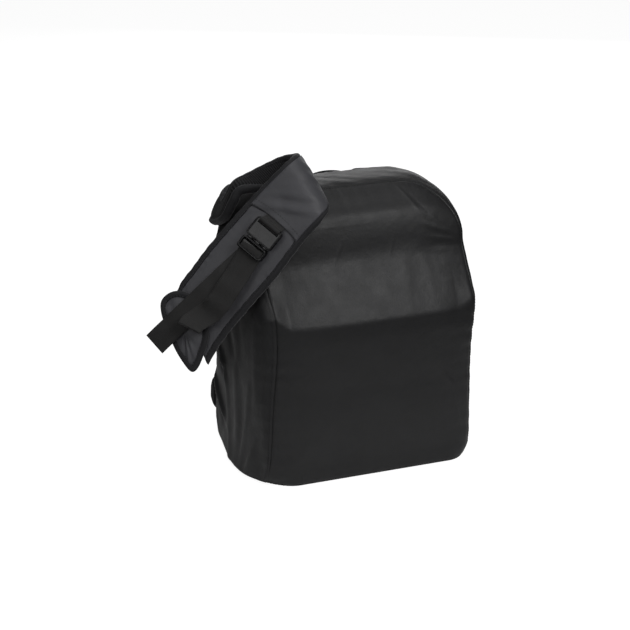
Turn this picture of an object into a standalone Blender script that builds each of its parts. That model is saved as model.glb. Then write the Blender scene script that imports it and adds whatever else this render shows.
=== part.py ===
"""Sling camera bag with its rain cover pulled on, modelled as its separate parts.

Units are metres and +Z is up.  The origin is the middle of the flat base, the front of the
bag looks along -Y and the padded sling strap is flopped over the left (-X) shoulder.
"""

import math

import bmesh
import bpy
import numpy as np
from mathutils import Matrix, Vector

# ---------------------------------------------------------------- driving dimensions
GAP = 0.0003                     # clearance between pieces that touch

COVER_HEIGHT = 0.294
COVER_HALF_WIDTH = 0.1235
COVER_SKIN = 0.0012
COVER_TOP_RADIUS = 0.075
SEAM_HALF_WIDTH = 0.1145         # stitched seam between front panel and gusset
SEAM_RADIUS = 0.070
HEM_RADIUS = 0.0028
LEDGE_HEIGHT = 0.172             # where the front pocket's top edge pushes the cover out
# height and depth of the front panel's side profile, bottom to top
FRONT_PROFILE = (
    (0.000, -0.076), (0.006, -0.083), (0.020, -0.0865), (0.100, -0.0885), (0.158, -0.0895),
    (LEDGE_HEIGHT, -0.0875), (0.180, -0.0825), (0.210, -0.0660), (0.240, -0.0500),
    (0.262, -0.0405), (0.280, -0.0290), (0.289, -0.0160), (COVER_HEIGHT, 0.0000),
)

SIDE_HEIGHTS = (0.060, 0.110, 0.158, LEDGE_HEIGHT, 0.180, 0.210)

BODY_HALF_WIDTH = 0.108
BODY_BOTTOM = 0.003
BODY_TOP = 0.284
BODY_FRONT = -0.014
BODY_BACK = 0.072
BODY_RADIUS = 0.065
BODY_WALL = 0.008

POCKET_HALF_WIDTH = 0.095
POCKET_FRONT = -0.073
POCKET_TOP = 0.160
POCKET_WALL = 0.004

LID_HALF_WIDTH = 0.094
LID_BOTTOM = 0.079
LID_TOP = 0.245
LID_RADIUS = 0.050
LID_THICKNESS = 0.006
LID_HINGE_HEIGHT = 0.0775

CHAIN_RADIUS = 0.0018
WEBBING_WIDTH = 0.025
WEBBING_THICKNESS = 0.0014
DIVIDER_THICKNESS = 0.008

# Sling strap: matching points along its two bound edges, from the sewn root over the left
# shoulder, round the fold and down to the rounded end.  They are a route chosen by hand.
STRAP_UPPER_EDGE = (
    (-0.073, 0.100, 0.268), (-0.089, 0.096, 0.277), (-0.105, 0.080, 0.275),
    (-0.115, 0.063, 0.273), (-0.119, 0.051, 0.277), (-0.116, 0.045, 0.286),
    (-0.107, 0.040, 0.296), (-0.096, 0.033, 0.305), (-0.082, 0.023, 0.316),
    (-0.067, 0.009, 0.328), (-0.062, -0.011, 0.335), (-0.077, -0.030, 0.334),
    (-0.103, -0.026, 0.309), (-0.131, -0.022, 0.280), (-0.158, -0.019, 0.251),
    (-0.176, -0.018, 0.229), (-0.186, -0.017, 0.217), (-0.192, -0.018, 0.207),
)
STRAP_LOWER_EDGE = (
    (-0.095, 0.100, 0.231), (-0.114, 0.093, 0.239), (-0.128, 0.068, 0.248),
    (-0.136, 0.040, 0.257), (-0.139, 0.016, 0.269), (-0.128, 0.009, 0.286),
    (-0.113, 0.007, 0.296), (-0.093, -0.002, 0.298), (-0.073, -0.018, 0.298),
    (-0.055, -0.038, 0.293), (-0.046, -0.058, 0.288), (-0.057, -0.072, 0.280),
    (-0.077, -0.070, 0.259), (-0.104, -0.068, 0.226), (-0.128, -0.065, 0.200),
    (-0.152, -0.062, 0.173), (-0.166, -0.062, 0.156), (-0.176, -0.063, 0.141),
)
STRAP_SAMPLES = 64
STRAP_HALF_THICKNESS = 0.0035    # foam core
STRAP_SKIN = 0.0010
STRAP_LAYER_GAP = 0.0006
BINDING_WIDTH = 0.0062
BINDING_GAP = 0.0012             # the strap twists, so its layers stay further from the binding
OVERLAY_EDGE = 0.0240            # where the patch over the fold ends, up the strap from the buckle
BINDING_HALF_HEIGHT = 0.0052
STRAP_ROOT = (Vector(STRAP_UPPER_EDGE[0]) + Vector(STRAP_LOWER_EDGE[0])) / 2

# Flat face of the hanging strap: the buckle's place on it and its directions.
BUCKLE_PLACE = Vector((-0.1100, -0.0468, 0.2598))
UP_STRAP = Vector((0.650, -0.065, 0.757)).normalized()
TOWARDS_EDGE = Vector((0.524, -0.623, -0.516))
ACROSS = (TOWARDS_EDGE - TOWARDS_EDGE.project(UP_STRAP)).normalized()
OUTWARD = ACROSS.cross(UP_STRAP)

BUCKLE_HALF_WIDTH = 0.0155
BUCKLE_LOW = 0.0075              # above the strap's middle surface
BUCKLE_HIGH = 0.0150
# one springy prong with its barb, seen from the front: across and up the strap
PRONG_OUTLINE = (
    (0.0078, -0.0050), (0.0108, -0.0050), (0.0108, 0.0000), (0.0122, 0.0000),
    (0.0122, 0.0050), (0.0108, 0.0078), (0.0078, 0.0078),
)
# routes of the webbing: across, up and out from the buckle's place
SOCKET_LOOP = (
    (0.0, 0.0212, 0.0070), (0.0, 0.0204, 0.0082), (0.0, 0.0193, 0.0110), (0.0, 0.0188, 0.0145),
    (0.0, 0.0168, 0.0163), (0.0, 0.0146, 0.0155), (0.0, 0.0136, 0.0125), (0.0, 0.0136, 0.0092),
)
FREE_WEBBING = (
    (0.0, -0.0066, 0.0066), (0.0, -0.0200, 0.0068), (-0.0015, -0.0400, 0.0080),
    (-0.0045, -0.0620, 0.0135), (-0.0080, -0.0900, 0.0143), (-0.0122, -0.1200, 0.0143),
    (-0.0163, -0.1497, 0.0140),
)
WEBBING_TAIL = (
    (0.0, -0.0110, 0.0158), (0.0, -0.0165, 0.0162), (0.0, -0.0240, 0.0152),
    (0.0, -0.0400, 0.0146), (-0.001, -0.0600, 0.0168), (-0.001, -0.0800, 0.0178),
    (0.0, -0.0950, 0.0196), (0.0, -0.1040, 0.0225), (0.0, -0.1120, 0.0225),
)
HANDLE_PATH = (
    (-0.0120, 0.0867, 0.2640), (-0.0115, 0.0940, 0.2641), (-0.0040, 0.1060, 0.2660),
    (0.0100, 0.1135, 0.2690), (0.0240, 0.1155, 0.2700), (0.0380, 0.1135, 0.2690),
    (0.0520, 0.1060, 0.2660), (0.0595, 0.0940, 0.2641), (0.0600, 0.0867, 0.2640),
)
END_TAB_CENTRE = (-0.0024, -0.1212)
END_TAB_SEMI_AXES = (0.0405, 0.0200)
END_TAB_TURN = math.radians(-40.4)


# ---------------------------------------------------------------- scene and materials
def clear_scene():
    for old in list(bpy.data.objects):
        bpy.data.objects.remove(old, do_unlink=True)
    for old in list(bpy.data.collections):
        bpy.data.collections.remove(old)


def new_collection(name):
    collection = bpy.data.collections.new(name)
    bpy.context.scene.collection.children.link(collection)
    return collection


def new_material(name, colour, roughness, metallic=0.0):
    material = bpy.data.materials.new(name)
    material.use_nodes = True
    shader = material.node_tree.nodes["Principled BSDF"]
    shader.inputs["Base Color"].default_value = (*colour, 1.0)
    shader.inputs["Roughness"].default_value = roughness
    shader.inputs["Metallic"].default_value = metallic
    material.diffuse_color = (*colour, 1.0)
    return material


clear_scene()
PARTS = new_collection("camera_bag")
CUTTERS = new_collection("cutters")

COVER_NYLON = new_material("cover_nylon", (0.018, 0.018, 0.020), 0.55)
BODY_NYLON = new_material("body_nylon", (0.026, 0.026, 0.029), 0.70)
STRAP_NYLON = new_material("strap_nylon", (0.045, 0.045, 0.051), 0.65)
AIR_MESH = new_material("air_mesh", (0.012, 0.012, 0.013), 0.90)
WEBBING = new_material("webbing", (0.020, 0.020, 0.021), 0.75)
BINDING = new_material("binding", (0.024, 0.024, 0.027), 0.70)
FOAM = new_material("foam", (0.060, 0.060, 0.065), 0.95)
BUCKLE_PLASTIC = new_material("buckle_plastic", (0.012, 0.012, 0.013), 0.32)
BOARD_PLASTIC = new_material("board_plastic", (0.030, 0.030, 0.032), 0.55)
ZIP_COIL = new_material("zip_coil", (0.014, 0.014, 0.015), 0.45)
ZIP_METAL = new_material("zip_metal", (0.060, 0.060, 0.065), 0.35, 0.9)
DIVIDER_CLOTH = new_material("divider_cloth", (0.090, 0.092, 0.098), 0.85)


# ---------------------------------------------------------------- general helpers
def add_mesh_object(name, mesh, material, collection=None):
    thing = bpy.data.objects.new(name, mesh)
    (collection or PARTS).objects.link(thing)
    if material is not None:
        mesh.materials.clear()
        mesh.materials.append(material)
    return thing


def mesh_from_bmesh(name, work, smooth=False):
    bmesh.ops.recalc_face_normals(work, faces=work.faces)
    mesh = bpy.data.meshes.new(name)
    work.to_mesh(mesh)
    work.free()
    if smooth:
        mesh.shade_smooth()
        mesh.set_sharp_from_angle(angle=math.radians(40))
    return mesh


def box(name, low, high, material, bevel=0.0, frame=None, collection=None):
    """A block between two corners, in world axes or in the axes of a frame."""
    low, high = Vector(low), Vector(high)
    size = high - low
    work = bmesh.new()
    bmesh.ops.create_cube(work, size=1.0)
    bmesh.ops.scale(work, vec=size, verts=work.verts)
    bmesh.ops.translate(work, vec=(low + high) / 2, verts=work.verts)
    if bevel:
        bmesh.ops.bevel(work, geom=work.edges[:], offset=bevel, segments=2, affect="EDGES")
    if frame is not None:
        bmesh.ops.transform(work, matrix=frame, verts=work.verts)
    return add_mesh_object(name, mesh_from_bmesh(name, work), material, collection)


def cutter_box(name, low, high, frame=None):
    cutter = box(name, low, high, None, frame=frame, collection=CUTTERS)
    cutter.hide_render = True
    cutter.display_type = "WIRE"
    return cutter


def as_cutter(thing):
    PARTS.objects.unlink(thing)
    CUTTERS.objects.link(thing)
    thing.hide_render = True
    thing.display_type = "WIRE"
    return thing


def combine(thing, other, operation="DIFFERENCE"):
    modifier = thing.modifiers.new(other.name, "BOOLEAN")
    modifier.operation = operation
    modifier.solver = "EXACT"
    modifier.object = other


def outline(half_width, low, high, low_radius, high_radius, steps=6, middle=0.0, side_heights=()):
    """Points (x, z) round an upright rounded rectangle, anticlockwise from the bottom right corner.

    With side_heights the sides have points at those heights, the outline starts at the middle
    of the bottom, and the top has a point in its middle.
    """
    corners = (
        (half_width - low_radius, low + low_radius, low_radius, -90.0),
        (half_width - high_radius, high - high_radius, high_radius, 0.0),
        (high_radius - half_width, high - high_radius, high_radius, 90.0),
        (low_radius - half_width, low + low_radius, low_radius, 180.0),
    )
    points = [(middle, low)] if side_heights else []
    for x, z, radius, start in corners:
        if start == 0.0:
            points.extend((middle + half_width, height) for height in side_heights)
        if start == 90.0 and side_heights:
            points.append((middle, high))
        if start == 180.0:
            points.extend((middle - half_width, height) for height in reversed(side_heights))
        for step in range(steps + 1):
            angle = math.radians(start + 90.0 * step / steps)
            points.append((middle + x + radius * math.cos(angle), z + radius * math.sin(angle)))
    return points


def flat_mesh(name, points, thickness):
    """Mesh of a flat outline in local XY, given its thickness by a curve's extrude."""
    curve = bpy.data.curves.new(name, "CURVE")
    curve.dimensions = "2D"
    curve.fill_mode = "BOTH"
    curve.extrude = thickness / 2
    spline = curve.splines.new("POLY")
    spline.points.add(len(points) - 1)
    for target, (x, y) in zip(spline.points, points):
        target.co = (x, y, 0.0, 1.0)
    spline.use_cyclic_u = True
    guide = bpy.data.objects.new(name, curve)
    CUTTERS.objects.link(guide)
    depsgraph = bpy.context.evaluated_depsgraph_get()
    mesh = bpy.data.meshes.new_from_object(guide.evaluated_get(depsgraph))
    bpy.data.objects.remove(guide, do_unlink=True)
    work = bmesh.new()
    work.from_mesh(mesh)
    bmesh.ops.remove_doubles(work, verts=work.verts, dist=0.00001)
    bpy.data.meshes.remove(mesh)
    return work


def slab(name, points, y_low, y_high, material):
    """An upright slab: an outline in the XZ plane, from one depth to another."""
    work = flat_mesh(name, points, y_high - y_low)
    upright = Matrix.Translation((0.0, (y_low + y_high) / 2, 0.0)) @ Matrix.Rotation(math.pi / 2, 4, "X")
    bmesh.ops.transform(work, matrix=upright, verts=work.verts)
    return add_mesh_object(name, mesh_from_bmesh(name, work), material)


def curve_at(points, places):
    """A smooth curve through the points, read at places counted in points from the first."""
    points = np.array(points, dtype=float)
    slopes = np.gradient(points, axis=0)
    index = np.minimum(places.astype(int), len(points) - 2)
    t = (places - index)[:, None]
    return (
        (2 * t**3 - 3 * t**2 + 1) * points[index] + (t**3 - 2 * t**2 + t) * slopes[index]
        + (3 * t**2 - 2 * t**3) * points[index + 1] + (t**3 - t**2) * slopes[index + 1]
    )


def even_places(points, count):
    """Places along a curve that are the same distance apart."""
    fine = np.linspace(0.0, len(points) - 1.0, 40 * len(points))
    steps = np.linalg.norm(np.diff(curve_at(points, fine), axis=0), axis=1)
    travelled = np.concatenate(([0.0], np.cumsum(steps)))
    return np.interp(np.linspace(0.0, travelled[-1], count), travelled, fine)


def smooth_path(points, count):
    return curve_at(points, even_places(points, count))


def loft(name, rings, material, smooth=True):
    """A closed body through rings of the same number of points, split the same way everywhere."""
    work = bmesh.new()
    rows = [[work.verts.new(point) for point in ring] for ring in rings]
    size = len(rows[0])
    for row, following in zip(rows, rows[1:]):
        for index in range(size):
            after = (index + 1) % size
            if index < size // 2:
                work.faces.new((row[index], row[after], following[after]))
                work.faces.new((row[index], following[after], following[index]))
            else:
                work.faces.new((row[index], row[after], following[index]))
                work.faces.new((row[after], following[after], following[index]))
    work.faces.new(rows[0])
    work.faces.new(rows[-1])
    return add_mesh_object(name, mesh_from_bmesh(name, work, smooth), material)


def strip(name, path, across, width, thickness, material):
    """A flat strip of webbing along a path, with its width in one fixed direction."""
    across = np.array(across) / np.linalg.norm(across)
    path = np.array(path, dtype=float)
    along = np.gradient(path, axis=0)
    along /= np.linalg.norm(along, axis=1)[:, None]
    rings = []
    for point, direction in zip(path, along):
        face = np.cross(across, direction)
        face /= np.linalg.norm(face)
        side, up = across * width / 2, face * thickness / 2
        rings.append([point - side + up, point + side + up, point + side - up, point - side - up])
    return loft(name, rings, material)


def wire(name, points, radius, material, cyclic=False, resolution=2):
    curve = bpy.data.curves.new(name, "CURVE")
    curve.dimensions = "3D"
    curve.bevel_depth = radius
    curve.bevel_resolution = resolution
    curve.render_resolution_u = 0
    curve.use_fill_caps = True
    spline = curve.splines.new("POLY")
    spline.points.add(len(points) - 1)
    for target, point in zip(spline.points, points):
        target.co = (*point, 1.0)
    spline.use_cyclic_u = cyclic
    curve.materials.append(material)
    thing = bpy.data.objects.new(name, curve)
    PARTS.objects.link(thing)
    return thing


def pivot(name, place, parent=None):
    """An empty on a joint's axis, which the moving pieces are parented to."""
    empty = bpy.data.objects.new(name, None)
    empty.empty_display_size = 0.02
    PARTS.objects.link(empty)
    empty.location = place if parent is None else Vector(place) - Vector(parent["place"])
    empty["place"] = tuple(place)
    empty.parent = parent
    return empty


def hang(thing, joint):
    """Parent a piece to a pivot and leave it where it is."""
    thing.parent = joint
    thing.matrix_parent_inverse = Matrix.Translation(-Vector(joint["place"]))


# ---------------------------------------------------------------- rain cover
def front_depth(height):
    heights = [z for z, _ in FRONT_PROFILE]
    depths = [y for _, y in FRONT_PROFILE]
    return float(np.interp(height, heights, depths))


def seam_outline():
    """Outline of the front panel's seam, a little narrower towards the base."""
    top = COVER_HEIGHT - 0.0025
    points = outline(SEAM_HALF_WIDTH, 0.003, top, 0.016, SEAM_RADIUS, steps=8, side_heights=SIDE_HEIGHTS)
    shaped = []
    for x, z in points:
        taper = 1.0 - 0.05 * max(0.0, 1.0 - z / 0.19) ** 2
        shaped.append((x * taper, z))
    return shaped


def cover_front_panel():
    """The panel inside the seam: rows of points from the base up to the crown."""
    seam = seam_outline()
    right_side = seam[1:len(seam) // 2]
    columns = 10
    work = bmesh.new()
    rows = []
    for half, z in right_side:
        row = []
        for column in range(columns + 1):
            share = 2.0 * column / columns - 1.0
            y = front_depth(z) + 0.010 * abs(share) ** 4
            row.append(work.verts.new((half * share, y, z)))
        rows.append(row)
    for row, following in zip(rows, rows[1:]):
        for column in range(columns):
            work.faces.new((row[column], row[column + 1], following[column + 1], following[column]))
    panel = add_mesh_object("cover_front_panel", mesh_from_bmesh("cover_front_panel", work), COVER_NYLON)
    solidify = panel.modifiers.new("skin", "SOLIDIFY")
    solidify.thickness = COVER_SKIN
    solidify.offset = -1.0
    if panel.data.polygons[0].normal.y > 0:
        panel.data.flip_normals()
    return panel


def cover_gusset():
    """The band round the bag from the front seam to the hem behind, with its flat underside."""
    shapes = (
        # share of the way back, half width, low, high, low radius, high radius
        (0.00, None, 0.0030, COVER_HEIGHT - 0.0025, 0.016, SEAM_RADIUS),
        (0.08, 0.1195, 0.0004, COVER_HEIGHT - 0.0005, 0.018, 0.073),
        (0.25, 0.1225, 0.0000, COVER_HEIGHT, 0.020, COVER_TOP_RADIUS),
        (0.60, COVER_HALF_WIDTH, 0.0000, COVER_HEIGHT, 0.022, COVER_TOP_RADIUS),
        (0.92, 0.1215, 0.0000, 0.2925, 0.024, 0.074),
        (1.05, 0.1165, 0.0006, 0.2885, 0.024, 0.071),
    )
    rings = []
    for share, half, low, high, low_radius, high_radius in shapes:
        if half is None:
            points = seam_outline()
        else:
            points = outline(half, low, high, low_radius, high_radius, steps=8, side_heights=SIDE_HEIGHTS)
        ring = []
        for (x, z), (_, seam_z) in zip(points, seam_outline()):
            front = front_depth(seam_z) + 0.0115
            ring.append((x, front + (0.070 - front) * share, z))
        rings.append(ring)
    edge = outline(0.1115, 0.0062, 0.2845, 0.022, 0.069, steps=8, side_heights=SIDE_HEIGHTS)
    rings.append([(x, 0.0855, z) for x, z in edge])
    work = bmesh.new()
    rows = [[work.verts.new(point) for point in ring] for ring in rings]
    size = len(rows[0])
    for row, following in zip(rows, rows[1:]):
        for index in range(size):
            after = (index + 1) % size
            work.faces.new((row[index], row[after], following[after], following[index]))
    gusset = add_mesh_object("cover_gusset", mesh_from_bmesh("cover_gusset", work), COVER_NYLON)
    lowest = min(gusset.data.polygons, key=lambda face: face.center.z)
    if lowest.normal.z > 0:
        gusset.data.flip_normals()
    solidify = gusset.modifiers.new("skin", "SOLIDIFY")
    solidify.thickness = COVER_SKIN
    solidify.offset = -1.0
    return gusset


def cover_hem():
    points = outline(0.1075, 0.0105, 0.2800, 0.020, 0.067, steps=8)
    ring = [(x, 0.0880, z) for x, z in points]
    return wire("cover_hem", ring, HEM_RADIUS, COVER_NYLON, cyclic=True)


# ---------------------------------------------------------------- bag body and its inside
def body_shell():
    shell = slab(
        "body_shell",
        outline(BODY_HALF_WIDTH, BODY_BOTTOM, BODY_TOP, 0.014, BODY_RADIUS),
        BODY_FRONT, BODY_BACK, BODY_NYLON,
    )
    cavity = as_cutter(slab(
        "body_cavity",
        outline(BODY_HALF_WIDTH - BODY_WALL, BODY_BOTTOM + BODY_WALL, BODY_TOP - BODY_WALL, 0.008,
                BODY_RADIUS - BODY_WALL),
        BODY_FRONT + BODY_WALL, BODY_BACK - 0.005, None,
    ))
    opening = as_cutter(slab(
        "body_opening",
        outline(LID_HALF_WIDTH - 0.004, LID_BOTTOM + 0.004, LID_TOP - 0.004, 0.008, LID_RADIUS - 0.004),
        BODY_BACK - 0.010, BODY_BACK + 0.005, None,
    ))
    combine(shell, cavity)
    combine(shell, opening)
    return shell


def inner_boards():
    floor_level = BODY_BOTTOM + BODY_WALL + GAP
    box("base_board", (-0.092, -0.0050, floor_level), (0.092, 0.064, floor_level + 0.002), BOARD_PLASTIC)
    slab(
        "front_board",
        outline(0.094, 0.0145, 0.268, 0.008, 0.052),
        BODY_FRONT + BODY_WALL + GAP, BODY_FRONT + BODY_WALL + GAP + 0.0015, BOARD_PLASTIC,
    )


def dividers():
    """Padded walls held to the lining by hook-and-loop ends, so each can be moved."""
    half = DIVIDER_THICKNESS / 2
    for name, height in (("divider_lower", 0.103), ("divider_upper", 0.199)):
        piece = box(name, (-0.0985, -0.0030, height - half), (0.0985, 0.0600, height + half),
                    DIVIDER_CLOTH, bevel=0.0015)
        hang(piece, pivot(name + "_slide", (0.0, 0.0285, height)))
    middle = box("divider_middle", (-half, -0.0030, 0.126), (half, 0.0600, 0.176),
                 DIVIDER_CLOTH, bevel=0.0015)
    hang(middle, pivot("divider_middle_slide", (0.0, 0.0285, 0.151)))


def front_pocket():
    back = BODY_FRONT - GAP
    pocket = slab("front_pocket", outline(POCKET_HALF_WIDTH, 0.006, POCKET_TOP, 0.014, 0.010),
                  POCKET_FRONT, back, BODY_NYLON)
    room = cutter_box("pocket_room", (-0.090, POCKET_FRONT + POCKET_WALL, 0.006 + POCKET_WALL),
                      (0.090, back - POCKET_WALL, POCKET_TOP - POCKET_WALL))
    mouth = cutter_box("pocket_mouth", (-0.084, -0.064, POCKET_TOP - 0.010),
                       (0.084, -0.024, POCKET_TOP + 0.010))
    combine(pocket, room)
    combine(pocket, mouth)

    tape_low = POCKET_TOP + GAP
    box("pocket_zip_tape", (-0.088, -0.068, tape_low), (0.088, -0.020, tape_low + 0.0010), BINDING)
    chain_height = tape_low + 0.0010 + GAP + CHAIN_RADIUS
    wire("pocket_zip_chain", [(-0.086, -0.045, chain_height), (0.0, -0.045, chain_height),
                              (0.086, -0.045, chain_height)], CHAIN_RADIUS, ZIP_COIL)
    slider_low = chain_height + CHAIN_RADIUS + GAP
    slide = pivot("pocket_zip_slide", (-0.078, -0.045, slider_low))
    slider = box("pocket_zip_slider", (-0.083, -0.0490, slider_low), (-0.073, -0.0410, slider_low + 0.0030),
                 ZIP_METAL, bevel=0.0006)
    hang(slider, slide)
    pull_low = slider_low + 0.0030 + GAP
    swing = pivot("pocket_zip_pull_swing", (-0.0815, -0.045, pull_low + 0.0008), slide)
    pull = box("pocket_zip_pull", (-0.082, -0.0480, pull_low), (-0.060, -0.0420, pull_low + 0.0016),
               ZIP_METAL, bevel=0.0005)
    hang(pull, swing)


# ---------------------------------------------------------------- back lid and back padding
def back_lid():
    low = BODY_BACK + 0.0005
    hinge = pivot("lid_hinge", (0.0, low + LID_THICKNESS, LID_HINGE_HEIGHT))
    lid = slab("lid_panel", outline(LID_HALF_WIDTH, LID_BOTTOM, LID_TOP, 0.010, LID_RADIUS),
               low, low + LID_THICKNESS, BODY_NYLON)
    board = slab("lid_board", outline(0.088, 0.086, 0.238, 0.006, 0.044),
                 low - GAP - 0.0022, low - GAP, BOARD_PLASTIC)
    hang(lid, hinge)
    hang(board, hinge)
    pad_low = low + LID_THICKNESS + GAP
    for name, middle in (("back_pad_left", -0.0455), ("back_pad_right", 0.0455)):
        pad = slab(name, outline(0.0390, 0.098, 0.232, 0.014, 0.022, middle=middle),
                   pad_low, pad_low + 0.012, AIR_MESH)
        bevel = pad.modifiers.new("soft_edge", "BEVEL")
        bevel.width = 0.004
        bevel.segments = 2
        hang(pad, hinge)


def lumbar_pad():
    pad = slab("lumbar_pad", outline(0.1170, 0.016, 0.063, 0.016, 0.016), 0.0938, 0.1070, AIR_MESH)
    root = slab("lumbar_root", outline(0.0940, 0.018, 0.061, 0.010, 0.010),
                BODY_BACK + GAP, 0.0950, AIR_MESH)
    combine(pad, as_cutter(root), "UNION")


def lid_zip():
    """Coil round the lid on the body, with its slider parked at the closed end on the left."""
    depth = BODY_BACK + 0.0005 + CHAIN_RADIUS
    points = outline(0.0985, 0.084, 0.2495, 0.004, 0.0545, steps=8)
    start = next(i for i, (x, z) in enumerate(points) if x > 0.098 and z > 0.0875)
    stop = max(i for i, (x, z) in enumerate(points) if x < -0.098 and z > 0.0875)
    wire("lid_zip_chain", [(x, depth, z) for x, z in points[start:stop + 1]], CHAIN_RADIUS, ZIP_COIL)
    low = depth + CHAIN_RADIUS + GAP
    slide = pivot("lid_zip_slide", (-0.0985, low, 0.098))
    slider = box("lid_zip_slider", (-0.1022, low, 0.093), (-0.0948, low + 0.0030, 0.103),
                 ZIP_METAL, bevel=0.0006)
    hang(slider, slide)
    pull_low = low + 0.0030 + GAP
    swing = pivot("lid_zip_pull_swing", (-0.0985, pull_low + 0.0008, 0.1015), slide)
    pull = box("lid_zip_pull", (-0.1015, pull_low, 0.078), (-0.0955, pull_low + 0.0016, 0.102),
               ZIP_METAL, bevel=0.0005)
    hang(pull, swing)


def yoke_and_handle():
    yoke = slab("yoke_panel", outline(0.100, 0.200, BODY_TOP - 0.003, 0.008, 0.060),
                BODY_BACK + GAP, 0.0745, BODY_NYLON)
    combine(yoke, cutter_box("yoke_trim", (-0.12, 0.06, 0.18), (0.12, 0.09, 0.2535)))
    for name, x in (("handle_anchor_left", -0.012), ("handle_anchor_right", 0.060)):
        box(name, (x - 0.0110, 0.0748, 0.2560), (x + 0.0110, 0.0834, 0.2700), WEBBING, bevel=0.001)
    swing = pivot("handle_swing", (0.024, 0.0895, 0.2640))
    points = smooth_path(HANDLE_PATH, 25)
    handle = strip("grab_handle", points, (0.0, 0.0, 1.0), 0.0098, 0.0030, WEBBING)
    hang(handle, swing)


def lower_anchor():
    """Webbing loop and ladder lock low on the back, where the sling's free webbing is threaded."""
    box("lower_loop", (-0.1000, 0.1073, 0.0512), (-0.0750, 0.1097, 0.0620), WEBBING, bevel=0.0005)
    swing = pivot("ladder_lock_swing", (-0.0875, 0.1098, 0.0480))
    lock = box("ladder_lock", (-0.1040, 0.1078, 0.0260), (-0.0710, 0.1118, 0.0495),
               BUCKLE_PLASTIC, bevel=0.0008)
    for number, low in enumerate((0.0290, 0.0375)):
        slot = cutter_box("ladder_slot_%d" % number, (-0.1005, 0.10, low), (-0.0745, 0.12, low + 0.005))
        combine(lock, slot)
    hang(lock, swing)


# ---------------------------------------------------------------- sling strap
def strap_stations():
    """Along the strap: both edge points, the direction across and the nylon side's direction."""
    edges = np.array([STRAP_UPPER_EDGE, STRAP_LOWER_EDGE])
    places = even_places(edges.mean(axis=0), STRAP_SAMPLES)
    upper, lower = curve_at(edges[0], places), curve_at(edges[1], places)
    across = lower - upper
    across /= np.linalg.norm(across, axis=1)[:, None]
    along = np.gradient((upper + lower) / 2, axis=0)
    face = np.cross(along, across)
    face /= np.linalg.norm(face, axis=1)[:, None]
    return upper, lower, across, face


def strap_layer(name, side, low, high, material, stations=slice(None), parts=3):
    """One layer of the strap.  side gives the layer's two ends across the strap."""
    upper, lower, across, face = strap_stations()
    rings = []
    for a, b, w, n in list(zip(upper, lower, across, face))[stations]:
        start, end = side(a, b, w)
        row = [start + (end - start) * part / parts for part in range(parts + 1)]
        rings.append([point + n * high for point in row] + [point + n * low for point in reversed(row)])
    return loft(name, rings, material)


def overlay_stations():
    """The part of the strap from the crest of its fold down to the buckle's loop."""
    upper, lower, _, _ = strap_stations()
    heights = ((upper + lower) / 2 - np.array(BUCKLE_PLACE)) @ np.array(UP_STRAP)
    crest = int(np.argmax(heights))
    return slice(crest + 2, crest + int(np.sum(heights[crest:] > OVERLAY_EDGE)))


def sling_strap():
    inset = BINDING_WIDTH + BINDING_GAP
    swing = pivot("strap_swing", STRAP_ROOT)

    def between(a, b, w):
        return a + w * inset, b - w * inset

    def upper_edge(a, b, w):
        return a, a + w * BINDING_WIDTH

    def lower_edge(a, b, w):
        return b - w * BINDING_WIDTH, b

    foam = STRAP_HALF_THICKNESS
    tape = BINDING_HALF_HEIGHT
    skin = foam + STRAP_LAYER_GAP
    patch = skin + STRAP_SKIN + GAP
    pieces = [
        strap_layer("strap_foam", between, -foam, foam, FOAM),
        strap_layer("strap_outer", between, skin, skin + STRAP_SKIN, STRAP_NYLON),
        strap_layer("strap_overlay", between, patch, patch + STRAP_SKIN, STRAP_NYLON, overlay_stations()),
        strap_layer("strap_lining", between, -skin - STRAP_SKIN, -skin, AIR_MESH),
        strap_layer("strap_binding_upper", upper_edge, -tape, tape, BINDING, parts=1),
        strap_layer("strap_binding_lower", lower_edge, -tape, tape, BINDING, parts=1),
    ]
    for piece in pieces:
        hang(piece, swing)
    return swing


def strap_root():
    """Stacked webbing tongue that ties the sling to the back's upper left corner."""
    top, bottom = Vector(STRAP_UPPER_EDGE[0]), Vector(STRAP_LOWER_EDGE[0])
    along = (bottom - top).normalized()
    inward = Vector((0.0, -1.0, 0.0))
    aside = along.cross(inward)
    frame = Matrix.Translation(STRAP_ROOT) @ Matrix((along, aside, -inward)).transposed().to_4x4()
    box("strap_root_tongue", (-0.014, -0.0030, -0.0252), (0.014, 0.0035, -0.0080),
        WEBBING, bevel=0.0010, frame=frame)


def on_strap(across, up, out, place=BUCKLE_PLACE):
    return place + ACROSS * across + UP_STRAP * up + OUTWARD * out


def strap_frame():
    return Matrix.Translation(BUCKLE_PLACE) @ Matrix((ACROSS, UP_STRAP, OUTWARD)).transposed().to_4x4()


def strap_plate(name, points, low, high, material):
    """A flat piece lying on the hanging strap, between two heights over its middle surface."""
    work = flat_mesh(name, points, high - low)
    frame = strap_frame() @ Matrix.Translation((0.0, 0.0, (low + high) / 2))
    bmesh.ops.transform(work, matrix=frame, verts=work.verts)
    return add_mesh_object(name, mesh_from_bmesh(name, work), material)


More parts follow.
